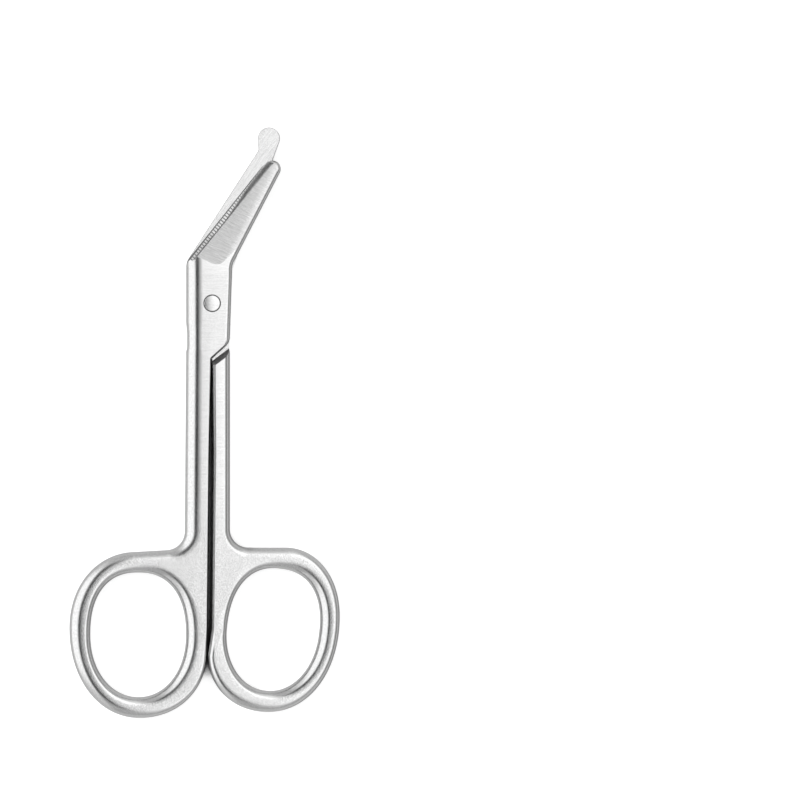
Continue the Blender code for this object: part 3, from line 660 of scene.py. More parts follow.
def lay_loop(piece, loop, level, rim):
    """Move the selected loop to its places round the pivot."""
    mesh = bmesh.from_edit_mesh(piece.data)
    layers = stations_of(mesh)
    for vert in mesh.verts:
        if vert.select:
            vert[layers[1]] = level
            vert[layers[2]] = rim
            vert.co = PIVOT + loop[vert[layers[0]]]
    bmesh.update_edit_mesh(piece.data)


def open_ring(name, count):
    """A ring of vertices round the pivot, opened for modelling."""
    deselect()
    bpy.ops.mesh.primitive_circle_add(vertices=count, radius=HALF_THICKNESS, location=PIVOT)
    bpy.ops.object.transform_apply(location=True, rotation=False, scale=False)
    piece = bpy.context.object
    piece.name = name
    bpy.ops.object.mode_set(mode="EDIT")
    return piece


def laid_ring(name, loops, rim=0):
    """A ring laid on the first of the loops and extruded to each of the others."""
    piece = open_ring(name, len(loops[0]))
    mesh = bmesh.from_edit_mesh(piece.data)
    station = stations_of(mesh)[0]
    for number, vert in enumerate(mesh.verts):
        vert[station] = number
    bmesh.update_edit_mesh(piece.data)
    for level, loop in enumerate(loops):
        if level:
            bpy.ops.mesh.extrude_edges_move()
        lay_loop(piece, loop, level, rim)
    leave()
    return piece


def select_edges(piece, wanted):
    """Select the edges whose ends are both wanted, by station, level and rim."""
    bpy.ops.mesh.select_mode(type="EDGE")
    bpy.ops.mesh.select_all(action="DESELECT")
    mesh = bmesh.from_edit_mesh(piece.data)
    layers = stations_of(mesh)
    for edge in mesh.edges:
        if all(wanted(*(vert[layer] for layer in layers)) for vert in edge.verts):
            edge.select_set(True)
    bmesh.update_edit_mesh(piece.data)


def join_ends(piece, ends, level):
    """Draw an edge between two stations of the outline."""
    bpy.ops.mesh.select_mode(type="VERT")
    bpy.ops.mesh.select_all(action="DESELECT")
    mesh = bmesh.from_edit_mesh(piece.data)
    layers = stations_of(mesh)
    for vert in mesh.verts:
        if vert[layers[2]] == 0 and vert[layers[1]] == level and vert[layers[0]] in ends:
            vert.select_set(True)
    bmesh.update_edit_mesh(piece.data)
    bpy.ops.mesh.edge_face_add()


def plate(name, blade, handle, hole, height_at):
    """One half as a plate with rounded edges, whose blade and handle are filled apart."""
    outline = edge_loops(fitted_roundings(blade + handle, hole), height_at, FOOT_POWER)
    opening = edge_loops(fitted_roundings(hole, handle), height_at, HOLE_FOOT_POWER)
    piece = laid_ring(name, outline)
    inner = laid_ring("finger_hole", opening, rim=1)
    take(piece)
    inner.select_set(True)
    bpy.ops.object.join()
    bpy.ops.object.mode_set(mode="EDIT")
    last = len(blade) - 1
    for end in (0, len(outline) - 1):
        join_ends(piece, (0, last), end)
        select_edges(piece, lambda station, level, rim: rim == 0 and level == end and station <= last)
        bpy.ops.mesh.edge_face_add()
        select_edges(piece, lambda station, level, rim: level == end and (
            rim == 1 or station >= last or station == 0))
        bpy.ops.mesh.fill(use_beauty=False)
    face_outwards()
    leave()
    return piece


def face_outwards():
    """Turn every face of the opened piece outwards."""
    bpy.ops.mesh.select_all(action="SELECT")
    bpy.ops.mesh.normals_make_consistent(inside=False)


def cap(piece, count):
    """Close both ends of a ring and turn its faces outwards."""
    edit(piece)
    for end in (0, count - 1):
        select_edges(piece, lambda station, level, rim: level == end)
        bpy.ops.mesh.edge_face_add()
    face_outwards()
    leave()


def laid_solid(name, loops):
    """A closed solid laid from loops with the same number of corners."""
    piece = laid_ring(name, loops)
    cap(piece, len(loops))
    return piece


def cut(piece, cutter):
    """Take the cutter's form out of the piece, and give the new faces the cutter's finish."""
    modifier = piece.modifiers.new(cutter.name, "BOOLEAN")
    modifier.operation = "DIFFERENCE"
    modifier.solver = "EXACT"
    modifier.material_mode = "TRANSFER"
    modifier.object = cutter
    take(piece)
    bpy.ops.object.modifier_apply(modifier=modifier.name)
    bpy.data.objects.remove(cutter)


def lap_cutter(name, side, lap_finish, shoulder_shade):
    """Takes off the half of the thickness that the other piece fills, down to a sloped shoulder in
    painted shade.
    """
    inner = slot_side(side, STEP_FOOT)
    angle = STEP_ANGLE - (SHOULDER_TURN if side == UPPER else UNDER_SHOULDER_TURN)
    across = Vector((side * math.cos(angle), math.sin(angle)))
    down = Vector((side * math.sin(angle), -math.cos(angle)))
    middle = Vector((inner, -STEP_FOOT - SHOULDER_DROP))
    height = HALF_THICKNESS + OVERCUT
    run = SHOULDER_RUN * (height + LAP_GAP / 2) / HALF_THICKNESS
    loops = []
    for level, shift in ((-side * LAP_GAP / 2, 0.0), (side * height, run)):
        first = middle - across * FAR + down * shift
        last = middle + across * FAR + down * shift
        plan = (first, last, Vector((last.x, FAR)), Vector((first.x, FAR)))
        loops.append([Vector((p.x, p.y, level)) for p in plan])
    piece = laid_solid(name, loops)
    piece.data.materials.append(lap_finish)
    piece.data.materials.append(shoulder_shade)
    # Painted shade: the sloped shoulder's faces get the darker steel, which stands for the shade beside
    # the other half's step.
    for face in piece.data.polygons:
        if face.normal.dot(down.to_3d()) > SHOULDER_FACING:
            face.material_index = 1
    return piece


def ground_face(spine_start, spine_end, edge_start, height_at):
    """Height over the plan of a blade's ground face, which curves off the spine band to the edge."""
    run = spine_end - spine_start
    aside = Vector((-run.y, run.x)).normalized()
    first = spine_start + aside * SPINE_BAND
    last = spine_end + aside * SPINE_BAND
    fall = height_at(last) - height_at(first)
    width = (edge_start - first).dot(aside)
    slope = -GROUND_DEPTH / width

    def face_at(place):
        along = (place - first).dot(run) / run.length_squared
        inset = (place - first).dot(aside)
        drop = slope * inset
        if abs(inset) < GRIND_BLEND:
            drop = slope * (inset + GRIND_BLEND) ** 2 / (4 * GRIND_BLEND)
        elif inset < 0:
            drop = -slope * (inset + GRIND_BLEND)
        return height_at(first) + fall * along + drop

    return face_at, first, aside


def ground_cutter(name, side, plan, ground, finish):
    """Grinds a blade's outer face, with a steep run-out at the joint."""
    face_at, line, aside = ground
    points = round_corners(plan)
    roof = HALF_THICKNESS + 2 * OVERCUT
    piece = open_ring(name, len(points))
    mesh = bmesh.from_edit_mesh(piece.data)
    for vert, (place, _) in zip(mesh.verts, points):
        vert.co = PIVOT + place.to_3d()
    bmesh.update_edit_mesh(piece.data)
    bpy.ops.mesh.edge_face_add()
    for step in range(-BLEND_STEPS, BLEND_STEPS + 1):
        spot = line + aside * GRIND_BLEND * step / BLEND_STEPS
        bpy.ops.mesh.select_all(action="SELECT")
        bpy.ops.mesh.bisect(plane_co=PIVOT + spot.to_3d(), plane_no=aside.to_3d())
    mesh = bmesh.from_edit_mesh(piece.data)
    for vert in mesh.verts:
        vert.co.z = PIVOT.z + side * face_at((vert.co - PIVOT).to_2d())
    bmesh.update_edit_mesh(piece.data)
    bpy.ops.mesh.select_all(action="SELECT")
    bpy.ops.mesh.extrude_region_move(TRANSFORM_OT_translate={"value": (0, 0, side * roof)})
    far_end = PIVOT + Vector((0, FAR, side * roof))
    spread = 1 + HALF_THICKNESS * math.tan(PLUNGE_LEAN) / FAR
    bpy.ops.transform.resize(value=(spread, spread, 0), center_override=far_end)
    face_outwards()
    leave()
    piece.data.materials.append(finish)
    return piece


def keen_trimmer(name, bend, keen, finish):
    """Trims the wider stock to the cutting edge, with a wall that leans in from the lap face and takes
    the given finish, which is painted shade.
    """
    along = (keen - bend).normalized()
    beside = bend.x - TRIM_MARGIN
    far = keen + along * FAR
    plan = [vertex(beside, bend.y, BLADE_LEFT_FILLET, 0)]
    plan.append(vertex(far.x, far.y, 0, 0))
    plan.append(vertex(-FAR, far.y, 0, 0))
    plan.append(vertex(-FAR, bend.y - TRIM_RUN, 0, 0))
    plan.append(vertex(beside, bend.y - TRIM_RUN, 0, 0))
    points = round_corners(plan)
    loops = []
    for height in (-OVERCUT, HALF_THICKNESS):
        loop = []
        for (place, _), step in zip(points, inward(points)):
            share = min(1.0, max(0.0, step.y / along.x))
            if place.y <= bend.y - TRIM_RUN / 2:
                share = 0.0
            spot = place - step * (height * LAND_LEAN) * share
            loop.append(Vector((spot.x, spot.y, height)))
        loops.append(loop)
    piece = laid_solid(name, loops)
    piece.data.materials.append(finish)
    return piece


def bevel_section(foot, inside, face_at, progress):
    """Insets and heights of a bevel: its foot, the start of its flatter break, and its top."""
    growth = (progress - BREAK_GROWS_FROM) / (BREAK_GROWS_TO - BREAK_GROWS_FROM)
    growth = min(1.0, max(0.0, growth))
    flat = BREAK_WIDTH + (BEVEL_WIDTH - LIP_WIDTH - BREAK_WIDTH) * growth ** 2 * (3 - 2 * growth)
    top = face_at(foot + inside * BEVEL_WIDTH)
    turn = top - flat * math.tan(BREAK_SLOPE)
    most = (BEVEL_WIDTH - flat) * math.tan(STEEPEST_BEVEL)
    land = min(max(LAP_GAP / 2 + EDGE_LAND, turn - most), turn - LIP_WIDTH)
    return (0.0, land), (BEVEL_WIDTH - flat, turn), (BEVEL_WIDTH, top)


def bevel_cutter(name, side, start, end, face_at, reach, finish):
    """Bevels a cutting edge, whose flatter break below the ground face widens along the reach."""
    along = (end - start).normalized()
    inside = Vector((along.y, -along.x)) * side
    roof = HALF_THICKNESS + OVERCUT
    loops = []
    for step in range(BEVEL_STEPS + 1):
        foot = start.lerp(end, step / BEVEL_STEPS)
        progress = (foot - reach[0]).dot(along) / (reach[1] - reach[0]).length
        low, turn, top = bevel_section(foot, inside, face_at, progress)
        fall = (turn[1] - low[1]) / (turn[0] - low[0]) * OVERCUT
        section = [(-OVERCUT, low[1] - fall), turn, top]
        section += [(BEVEL_WIDTH + BREAK_WIDTH, roof), (-OVERCUT, roof)]
        loop = []
        for inset, height in section:
            place = foot + inside * inset
            loop.append(Vector((place.x, place.y, side * height)))
        loops.append(loop)
    piece = laid_solid(name, loops)
    piece.data.materials.append(finish)
    return piece


def tooth_cutter(name, start, finish_point, face_at, finish):
    """A row of small grooves across the bevel of the cutting edge."""
    along = (finish_point - start).normalized()
    inside = Vector((along.y, -along.x))
    length = (finish_point - start).length
    count = int((length - TOOTH_START - TOOTH_END_MARGIN) / TOOTH_PITCH)
    grooves = []
    for tooth in range(count):
        distance = TOOTH_START + tooth * TOOTH_PITCH
        centre = start + along * distance
        low, turn, _ = bevel_section(centre, inside, face_at, distance / length)
        slope = (turn[1] - low[1]) / (turn[0] - low[0])
        loops = []
        for inset in (-OVERCUT / 2, turn[0] + TOOTH_RUN_OUT):
            apex = centre + inside * inset
            left = apex - along * TOOTH_WIDTH / 2
            right = apex + along * TOOTH_WIDTH / 2
            surface = low[1] + slope * inset
            deep = surface - TOOTH_DEPTH * math.hypot(1, slope)
            high = surface + TOOTH_DEPTH
            corners = ((apex, deep), (right, high), (left, high))
            loops.append([Vector((spot.x, spot.y, level)) for spot, level in corners])
        grooves.append(laid_solid(name, loops))
    take(grooves[0])
    for groove in grooves[1:]:
        groove.select_set(True)
    bpy.ops.object.join()
    grooves[0].data.materials.append(finish)
    return grooves[0]


def finish_lap_face(piece, level, lowest, face_finish, chamfer_shade):
    """Give the flat lap face of a blade its finish, and break its sharp edge above a place with a chamfer
    in painted shade.
    """
    piece.data.materials.append(face_finish)
    face_index = len(piece.data.materials) - 1
    for face in piece.data.polygons:
        flat = face.normal.z > LEVEL_FACING and abs(face.center.z - level) < LEVEL_REACH
        if flat and face.center.y > lowest:
            face.material_index = face_index
    edit(piece)
    bpy.ops.mesh.select_mode(type="EDGE")
    bpy.ops.mesh.select_all(action="DESELECT")
    mesh = bmesh.from_edit_mesh(piece.data)
    for edge in mesh.edges:
        flat = all(abs(vert.co.z - level) < TOUCHING for vert in edge.verts)
        above = all(vert.co.y > lowest for vert in edge.verts)
        if flat and above and edge.calc_face_angle(0) > SMOOTH_ANGLE:
            edge.select_set(True)
    bmesh.update_edit_mesh(piece.data)
    # Painted shade: the chamfer's faces get the darker steel.
    edge_index = piece.data.materials.find(chamfer_shade.name)
    bpy.ops.mesh.bevel(offset=LAP_CHAMFER, segments=1, material=edge_index)
    leave()


def paint_step_shade(piece, index):
    """Give the edge of the upper half's step the painted shade of the shoulder below it."""
    foot = Vector((slot_side(-UPPER, STEP_FOOT), -STEP_FOOT))
    along = point_on(STEP_ANGLE, 1.0)
    outward = Vector((along.y, -along.x, 0))
    for face in piece.data.polygons:
        place = (face.center - PIVOT).to_2d() - foot
        beside = abs(place.dot(outward.to_2d())) < LAP_ROUNDING
        on_the_way = 0 < place.dot(along) < STEP_REACH
        if beside and on_the_way and face.normal.dot(outward) > STEP_FACING:
            face.material_index = index


def turned(name, profile):
    """A solid turned about the pivot from a profile of radii and heights."""
    loops = []
    for radius, height in profile:
        loop = []
        for step in range(TURN_STEPS):
            spot = point_on(math.tau * step / TURN_STEPS, radius)
            loop.append(Vector((spot.x, spot.y, height)))
        loops.append(loop)
    return laid_solid(name, loops)


def smooth(piece):
    """Round the shading over curves and keep the corners sharp."""
    take(piece)
    bpy.ops.object.shade_smooth_by_angle(angle=SMOOTH_ANGLE)
    modifier = piece.modifiers.new("even_shading", "WEIGHTED_NORMAL")
    modifier.keep_sharp = True
    bpy.ops.object.modifier_apply(modifier=modifier.name)


def bore_upper_half(piece):
    """Bore the upper half for the screw's end, and break the bore's upper rim."""
    reach = HALF_THICKNESS + OVERCUT
    rim = HALF_THICKNESS - BORE_EDGE
    profile = [(BORE_RADIUS, -reach), (BORE_RADIUS, rim), (BORE_RADIUS + BORE_EDGE + OVERCUT, reach)]
    cut(piece, turned("upper_bore_cut", profile))


def bore_lower_half(piece):
    """Bore the lower half for the screw, and countersink it for the head."""
    head = HEAD_RADIUS + SEAT_GAP
    reach = HALF_THICKNESS + OVERCUT
    seat = -HALF_THICKNESS + HEAD_SINK + HEAD_LAND + SEAT_GAP
    cone = seat + head - BORE_RADIUS
    profile = [(head, -reach), (head, seat), (BORE_RADIUS, cone), (BORE_RADIUS, reach)]
    cut(piece, turned("lower_bore_cut", profile))


def serrated_stock(height_at, forged):
    """Forging of the upper half: blade, joint, left shank and left ring."""
    blade = round_corners(serrated_outline())
    handle = handle_points(blade, upper_handle())
    hole_left = -LEFT_RING_SIDE + RING_STOCK
    hole_right = -RING_MEETING - RING_GAP / 2 - LEFT_INNER_STOCK
    hole = finger_hole(hole_left, hole_right, -LEFT_RING_TOP - RING_STOCK,
                       -LEFT_RING_BOTTOM + RING_STOCK, 0)
    piece = plate("serrated_half", blade, handle, hole, height_at)
    piece.data.materials.append(forged)
    return piece


def grind_upper_blade(piece, grinding, finish):
    """Grind the upper blade's outer face, with a run-out that crosses the joint at two slants."""
    corner = Vector((PLUNGE_X, PLUNGE_Y))
    right_end = corner + point_on(PLUNGE_RIGHT_RISE, FAR)
    left_end = corner + point_on(math.pi - PLUNGE_LEFT_RISE, FAR)
    plan = [vertex(corner.x, corner.y, PLUNGE_FILLET, 0)]
    plan.append(vertex(right_end.x, right_end.y, 0, 0))
    plan.append(vertex(right_end.x, FAR, 0, 0))
    plan.append(vertex(left_end.x, FAR, 0, 0))
    plan.append(vertex(left_end.x, left_end.y, 0, 0))
    cut(piece, ground_cutter("upper_grinding_cut", UPPER, plan, grinding, finish))


def sharpen_upper_blade(piece, bend, keen, face_at, ground, painted_shade, painted_land_shade):
    """Trim the upper blade to its cutting edge, bevel the edge and cut its serrations; the trimmed wall
    and the grooves get painted shade.
    """
    # Painted shade: the cutting edge's leaning wall gets the near-black steel.
    cut(piece, keen_trimmer("keen_edge_trim", bend, keen, painted_land_shade))
    along = (keen - bend).normalized()
    run_in = bend - along * BEVEL_RUN_IN
    run_out = keen + along * (BLADE_TIP_RADIUS + OVERCUT)
    growth = (bend, keen)
    cut(piece, bevel_cutter("upper_bevel_cut", UPPER, run_in, run_out, face_at, growth, ground))
    # Painted shade: the serration grooves get the darker steel.
    cut(piece, tooth_cutter("serration_cut", bend, keen, face_at, painted_shade))


def serrated_half(forged, ground, painted_shade, painted_land_shade):
    """Upper half: serrated blade, joint, left shank and left ring."""
    tip = Vector((BLADE_TIP_X, BLADE_TIP_Y))
    height_at = thinning(tip, BLADE_TIP_HEIGHT)
    piece = serrated_stock(height_at, forged)
    bend_right, bend_left = blade_bends(BLADE_BEND_LEFT, BLADE_BEND_RIGHT)
    spine = tip + point_on(tangent_angle(bend_right, tip, BLADE_TIP_RADIUS, 1), BLADE_TIP_RADIUS)
    keen = tip + point_on(tangent_angle(bend_left, tip, BLADE_TIP_RADIUS, -1), BLADE_TIP_RADIUS)
    cut(piece, lap_cutter("upper_lap_cut", LOWER, forged, painted_shade))
    grinding = ground_face(bend_right, spine, bend_left, height_at)
    grind_upper_blade(piece, grinding, ground)
    sharpen_upper_blade(piece, bend_left, keen, grinding[0], ground, painted_shade, painted_land_shade)
    bore_upper_half(piece)
    # Painted shade along the edge of the step.
    paint_step_shade(piece, piece.data.materials.find(painted_shade.name))
    return piece


def probe_stock(height_at, forged):
    """Forging of the lower half: blade, joint, right shank and right ring."""
    blade = round_corners(probe_outline())
    handle = handle_points(blade, lower_handle())
    hole_left = -RING_MEETING + RING_GAP / 2 + RIGHT_INNER_STOCK
    hole_right = RIGHT_RING_SIDE - RING_STOCK
    hole = finger_hole(hole_left, hole_right, -RIGHT_RING_TOP - RING_STOCK,
                       -RIGHT_RING_BOTTOM + RING_STOCK, RIGHT_HOLE_TILT)
    piece = plate("probe_half", blade, handle, hole, height_at)
    piece.data.materials.append(forged)
    return piece


def grind_lower_blade(piece, neck, bend_left, grinding, finish):
    """Grind the probe blade's outer face from the joint to short of its button."""
    corner = Vector((PLUNGE_X, PLUNGE_Y))
    reach = 2 * (JOINT_LEFT + JOINT_RIGHT)
    left_end = corner + point_on(math.pi - PROBE_PLUNGE_RISE, reach)
    right_end = corner + point_on(PROBE_PLUNGE_RISE, reach)
    back = (neck - bend_left).normalized()
    stop = neck - back * PROBE_GRIND_MARGIN
    plan = [vertex(left_end.x, left_end.y, 0, 0)]
    plan.append(vertex(corner.x, corner.y, PLUNGE_FILLET, 0))
    plan.append(vertex(right_end.x, right_end.y, 0, 0))
    for end in (right_end, left_end):
        beside = end + back * (stop - end).dot(back)
        plan.append(vertex(beside.x, beside.y, 0, 0))
    cut(piece, ground_cutter("lower_grinding_cut", LOWER, plan, grinding, finish))


def sharpen_lower_blade(piece, bend, keen, face_at, finish):
    """Bevel the probe blade's edge, with a break so far from its end that it stays narrow."""
    onward = (keen - bend).normalized()
    start = bend + onward * PROBE_BEVEL_START
    end = keen - onward * PROBE_BEVEL_MARGIN
    growth = (start, start + onward * FAR * 2)
    cut(piece, bevel_cutter("lower_bevel_cut", LOWER, start, end, face_at, growth, finish))


def probe_half(forged, ground, painted_shade, lapped):
    """Lower half: probe blade, joint, right shank and right ring."""
    button = Vector((BUTTON_X, BUTTON_Y))
    height_at = thinning(button, BUTTON_HEIGHT)
    piece = probe_stock(height_at, forged)
    cut(piece, lap_cutter("lower_lap_cut", UPPER, forged, painted_shade))
    bend_right, bend_left = blade_bends(PROBE_BEND_LEFT, PROBE_BEND_RIGHT)
    neck = Vector((NECK_X, NECK_Y))
    keen = button + point_on(tangent_angle(bend_right, button, BUTTON_RADIUS, 1), BUTTON_RADIUS)
    grinding = ground_face(neck, bend_left, bend_right, height_at)
    grind_lower_blade(piece, neck, bend_left, grinding, ground)
    sharpen_lower_blade(piece, bend_right, keen, grinding[0], ground)
    # The lap face's chamfer gets painted shade.
    finish_lap_face(piece, PIVOT.z - LAP_GAP / 2, PIVOT.y + bend_left.y, lapped, painted_shade)
    bore_lower_half(piece)
    return piece


def driver_slot(bottom, finish):
    """Cutter for the screwdriver's slot across the head, from below."""
    half_width = SLOT_CUT_WIDTH / 2
    reach = HEAD_RADIUS + OVERCUT
    loops = []
    for height in (bottom - OVERCUT, bottom + SLOT_CUT_DEPTH):
        plan = ((-reach, -half_width), (reach, -half_width), (reach, half_width), (-reach, half_width))
        loops.append([Vector((x, y, height)) for x, y in plan])
    slot = laid_solid("screw_slot_cut", loops)
    slot.data.materials.append(finish)
    return slot


def screw_profile(bottom):
    """Radii and heights of the screw, from the edge of its head to its domed end."""
    land = bottom + HEAD_LAND
    cone = land + HEAD_RADIUS - SCREW_RADIUS
    profile = [(HEAD_RADIUS - HEAD_EDGE, bottom), (HEAD_RADIUS, bottom + HEAD_EDGE)]
    profile += [(HEAD_RADIUS, land), (SCREW_RADIUS, cone)]
    for step in range(BLEND_STEPS + 1):
        angle = step / BLEND_STEPS * math.pi / 2
        radius = SCREW_RADIUS - SCREW_EDGE * (1 - math.cos(angle))
        profile.append((radius, HALF_THICKNESS - SCREW_DOME - SCREW_EDGE * (1 - math.sin(angle))))
    crown = SCREW_RADIUS - SCREW_EDGE
    for step in range(1, BLEND_STEPS):
        radius = crown * (1 - step / BLEND_STEPS)
        profile.append((radius, HALF_THICKNESS - SCREW_DOME * (radius / crown) ** 2))
    return profile


def pivot_screw(finish):
    """Countersunk screw: its slotted head sits in the lower half, its domed end lies in the upper."""
    bottom = -HALF_THICKNESS + HEAD_SINK
    piece = turned("pivot_screw_steel", screw_profile(bottom))
    piece.data.materials.append(finish)
    cut(piece, driver_slot(bottom, finish))
    return piece


def socket_group(name, inputs, outputs):
    """An empty node group with named number or vector sockets."""
    group = bpy.data.node_groups.new(name, "ShaderNodeTree")
    for label, kind, value in inputs:
        socket = group.interface.new_socket(label, in_out="INPUT", socket_type=kind)
        if value is not None:
            socket.default_value = value
    for label, kind in outputs:
        group.interface.new_socket(label, in_out="OUTPUT", socket_type=kind)
    return group


def math_node(tree, operation, first, second):
    """A sum, product or other pairing of two values, each a number or a socket."""
    node = tree.nodes.new("ShaderNodeMath")
    node.operation = operation
    for socket, value in zip(node.inputs, (first, second)):
        if isinstance(value, (int, float)):
            socket.default_value = value
        else:
            tree.links.new(value, socket)
    return node.outputs[0]


def mix_node(tree, share, first, second):
    """A grey that goes from the first shade to the second as the share goes from 0 to 1."""
    node = tree.nodes.new("ShaderNodeMix")
    node.data_type = "RGBA"
    node.inputs[MIX_FIRST].default_value = (first, first, first, 1)
    node.inputs[MIX_SECOND].default_value = (second, second, second, 1)
    tree.links.new(share, node.inputs[MIX_SHARE])
    return node.outputs[MIX_RESULT]


def step_node(tree, value, low, high, from_value=0.0, to_value=1.0):
    """A soft step between two values as the given value goes from low to high."""
    node = tree.nodes.new("ShaderNodeMapRange")
    node.interpolation_type = "SMOOTHSTEP"
    tree.links.new(value, node.inputs["Value"])
    node.inputs["From Min"].default_value = low
    node.inputs["From Max"].default_value = high
    node.inputs["To Min"].default_value = from_value
    node.inputs["To Max"].default_value = to_value
    return node.outputs["Result"]


def blasted_grain():
    """Fine pits of a blasted satin finish, with cloudy patches of a slightly other shade."""
    inputs = (("Vector", "NodeSocketVector", None), ("Grain Size", "NodeSocketFloat", GRAIN_SCALE))
    outputs = (("Height", "NodeSocketFloat"), ("Patches", "NodeSocketFloat"))
    group = socket_group("blasted_grain", inputs, outputs)
    entry = group.nodes.new("NodeGroupInput")
    leaving = group.nodes.new("NodeGroupOutput")
    grain = group.nodes.new("ShaderNodeTexNoise")
    grain.inputs["Detail"].default_value = GRAIN_DETAIL
    group.links.new(entry.outputs["Vector"], grain.inputs["Vector"])
    group.links.new(entry.outputs["Grain Size"], grain.inputs["Scale"])
    patches = group.nodes.new("ShaderNodeTexNoise")
    patches.inputs["Scale"].default_value = PATCH_SCALE
    patches.inputs["Detail"].default_value = PATCH_DETAIL
    group.links.new(entry.outputs["Vector"], patches.inputs["Vector"])
    group.links.new(grain.outputs["Fac"], leaving.inputs["Height"])
    group.links.new(patches.outputs["Fac"], leaving.inputs["Patches"])
    return group


def grinding_lines():
    """Fine lines that a grinding belt leaves, along the vector's X axis."""
    inputs = (("Vector", "NodeSocketVector", None), ("Line Scale", "NodeSocketFloat", LINE_SCALE))
    outputs = (("Height", "NodeSocketFloat"),)
    group = socket_group("grinding_lines", inputs, outputs)
    entry = group.nodes.new("NodeGroupInput")
    leaving = group.nodes.new("NodeGroupOutput")
    stretch = group.nodes.new("ShaderNodeVectorMath")
    stretch.operation = "MULTIPLY"
    stretch.inputs[1].default_value = (LINE_STRETCH, 1.0, 1.0)
    group.links.new(entry.outputs["Vector"], stretch.inputs[0])
    lines = group.nodes.new("ShaderNodeTexNoise")
    lines.inputs["Detail"].default_value = LINE_DETAIL
    group.links.new(stretch.outputs[0], lines.inputs["Vector"])
    group.links.new(entry.outputs["Line Scale"], lines.inputs["Scale"])
    group.links.new(lines.outputs["Fac"], leaving.inputs["Height"])
    return group


def belt_ground_flats():
    """Mask of the level faces of the joint and shanks, which a belt ground brighter than the rings."""
    group = socket_group("belt_ground_flats", (), (("Flats", "NodeSocketFloat"),))
    leaving = group.nodes.new("NodeGroupOutput")
    place = group.nodes.new("ShaderNodeTexCoord")
    facing = group.nodes.new("ShaderNodeSeparateXYZ")
    group.links.new(place.outputs["Normal"], facing.inputs[0])
    spot = group.nodes.new("ShaderNodeSeparateXYZ")
    group.links.new(place.outputs["Object"], spot.inputs[0])
    level = step_node(group, math_node(group, "ABSOLUTE", facing.outputs["Z"], 0.0), *FLATS_FACING)
    above = step_node(group, spot.outputs["Y"], *FLATS_PLACE)
    group.links.new(math_node(group, "MULTIPLY", level, above), leaving.inputs["Flats"])
    return group


def grouped(tree, group, vector=None):
    """The group placed in a material, with its vector joined where it takes one."""
    node = tree.nodes.new("ShaderNodeGroup")
    node.node_tree = group
    if vector:
        tree.links.new(vector, node.inputs["Vector"])
    return node


def steel(name, groups, shade, finish, line_turn=0.0, flats_only=False):
    """Stainless steel that has the finish all over, or has it on its flats and is blasted elsewhere."""
    material = bpy.data.materials.new(name)
    material.use_nodes = True
    tree = material.node_tree
    shader = tree.nodes["Principled BSDF"]
    shader.inputs["Metallic"].default_value = 1.0
    place = tree.nodes.new("ShaderNodeTexCoord")
    turn = tree.nodes.new("ShaderNodeMapping")
    turn.inputs["Rotation"].default_value = (0, 0, line_turn)
    tree.links.new(place.outputs["Object"], turn.inputs["Vector"])
    grain = grouped(tree, groups[0], place.outputs["Object"])
    lines = grouped(tree, groups[1], turn.outputs["Vector"])
    flats = grouped(tree, groups[2]).outputs["Flats"] if flats_only else None

    def blend(measure):
        """The finish's own value of a measure, or the blasted one's going over to it on the flats."""
        wanted = getattr(finish, measure)
        if flats is None:
            return wanted
        elsewhere = getattr(BLASTED, measure)
        change = math_node(tree, "MULTIPLY", flats, wanted - elsewhere)
        return math_node(tree, "ADD", change, elsewhere)

    pits = math_node(tree, "MULTIPLY", grain.outputs["Height"], blend("pit_depth"))
    scratches = math_node(tree, "MULTIPLY", lines.outputs["Height"], blend("line_depth"))
    relief = math_node(tree, "ADD", pits, scratches)
    bump = tree.nodes.new("ShaderNodeBump")
    bump.inputs["Strength"].default_value = 1.0
    bump.inputs["Distance"].default_value = BUMP_DISTANCE
    tree.links.new(relief, bump.inputs["Height"])
    tree.links.new(bump.outputs["Normal"], shader.inputs["Normal"])
    uneven = step_node(tree, grain.outputs["Patches"], *UNEVEN_STEP)
    tree.links.new(math_node(tree, "MULTIPLY", uneven, blend("roughness")), shader.inputs["Roughness"])
    spots = step_node(tree, grain.outputs["Height"], *FLECK_STEP)
    strokes = step_node(tree, lines.outputs["Height"], *FLECK_STEP)
    flecks = math_node(tree, "MULTIPLY", spots, blend("pit_tint"))
    streaks = math_node(tree, "MULTIPLY", strokes, blend("line_tint"))
    clouds = math_node(tree, "MULTIPLY", grain.outputs["Patches"], CLOUD_SHARE)
    lightness = math_node(tree, "ADD", math_node(tree, "ADD", flecks, streaks), clouds)
    tint = mix_node(tree, lightness, shade * DARK_FLECK, shade * LIGHT_FLECK)
    tree.links.new(tint, shader.inputs["Base Color"])
    return material


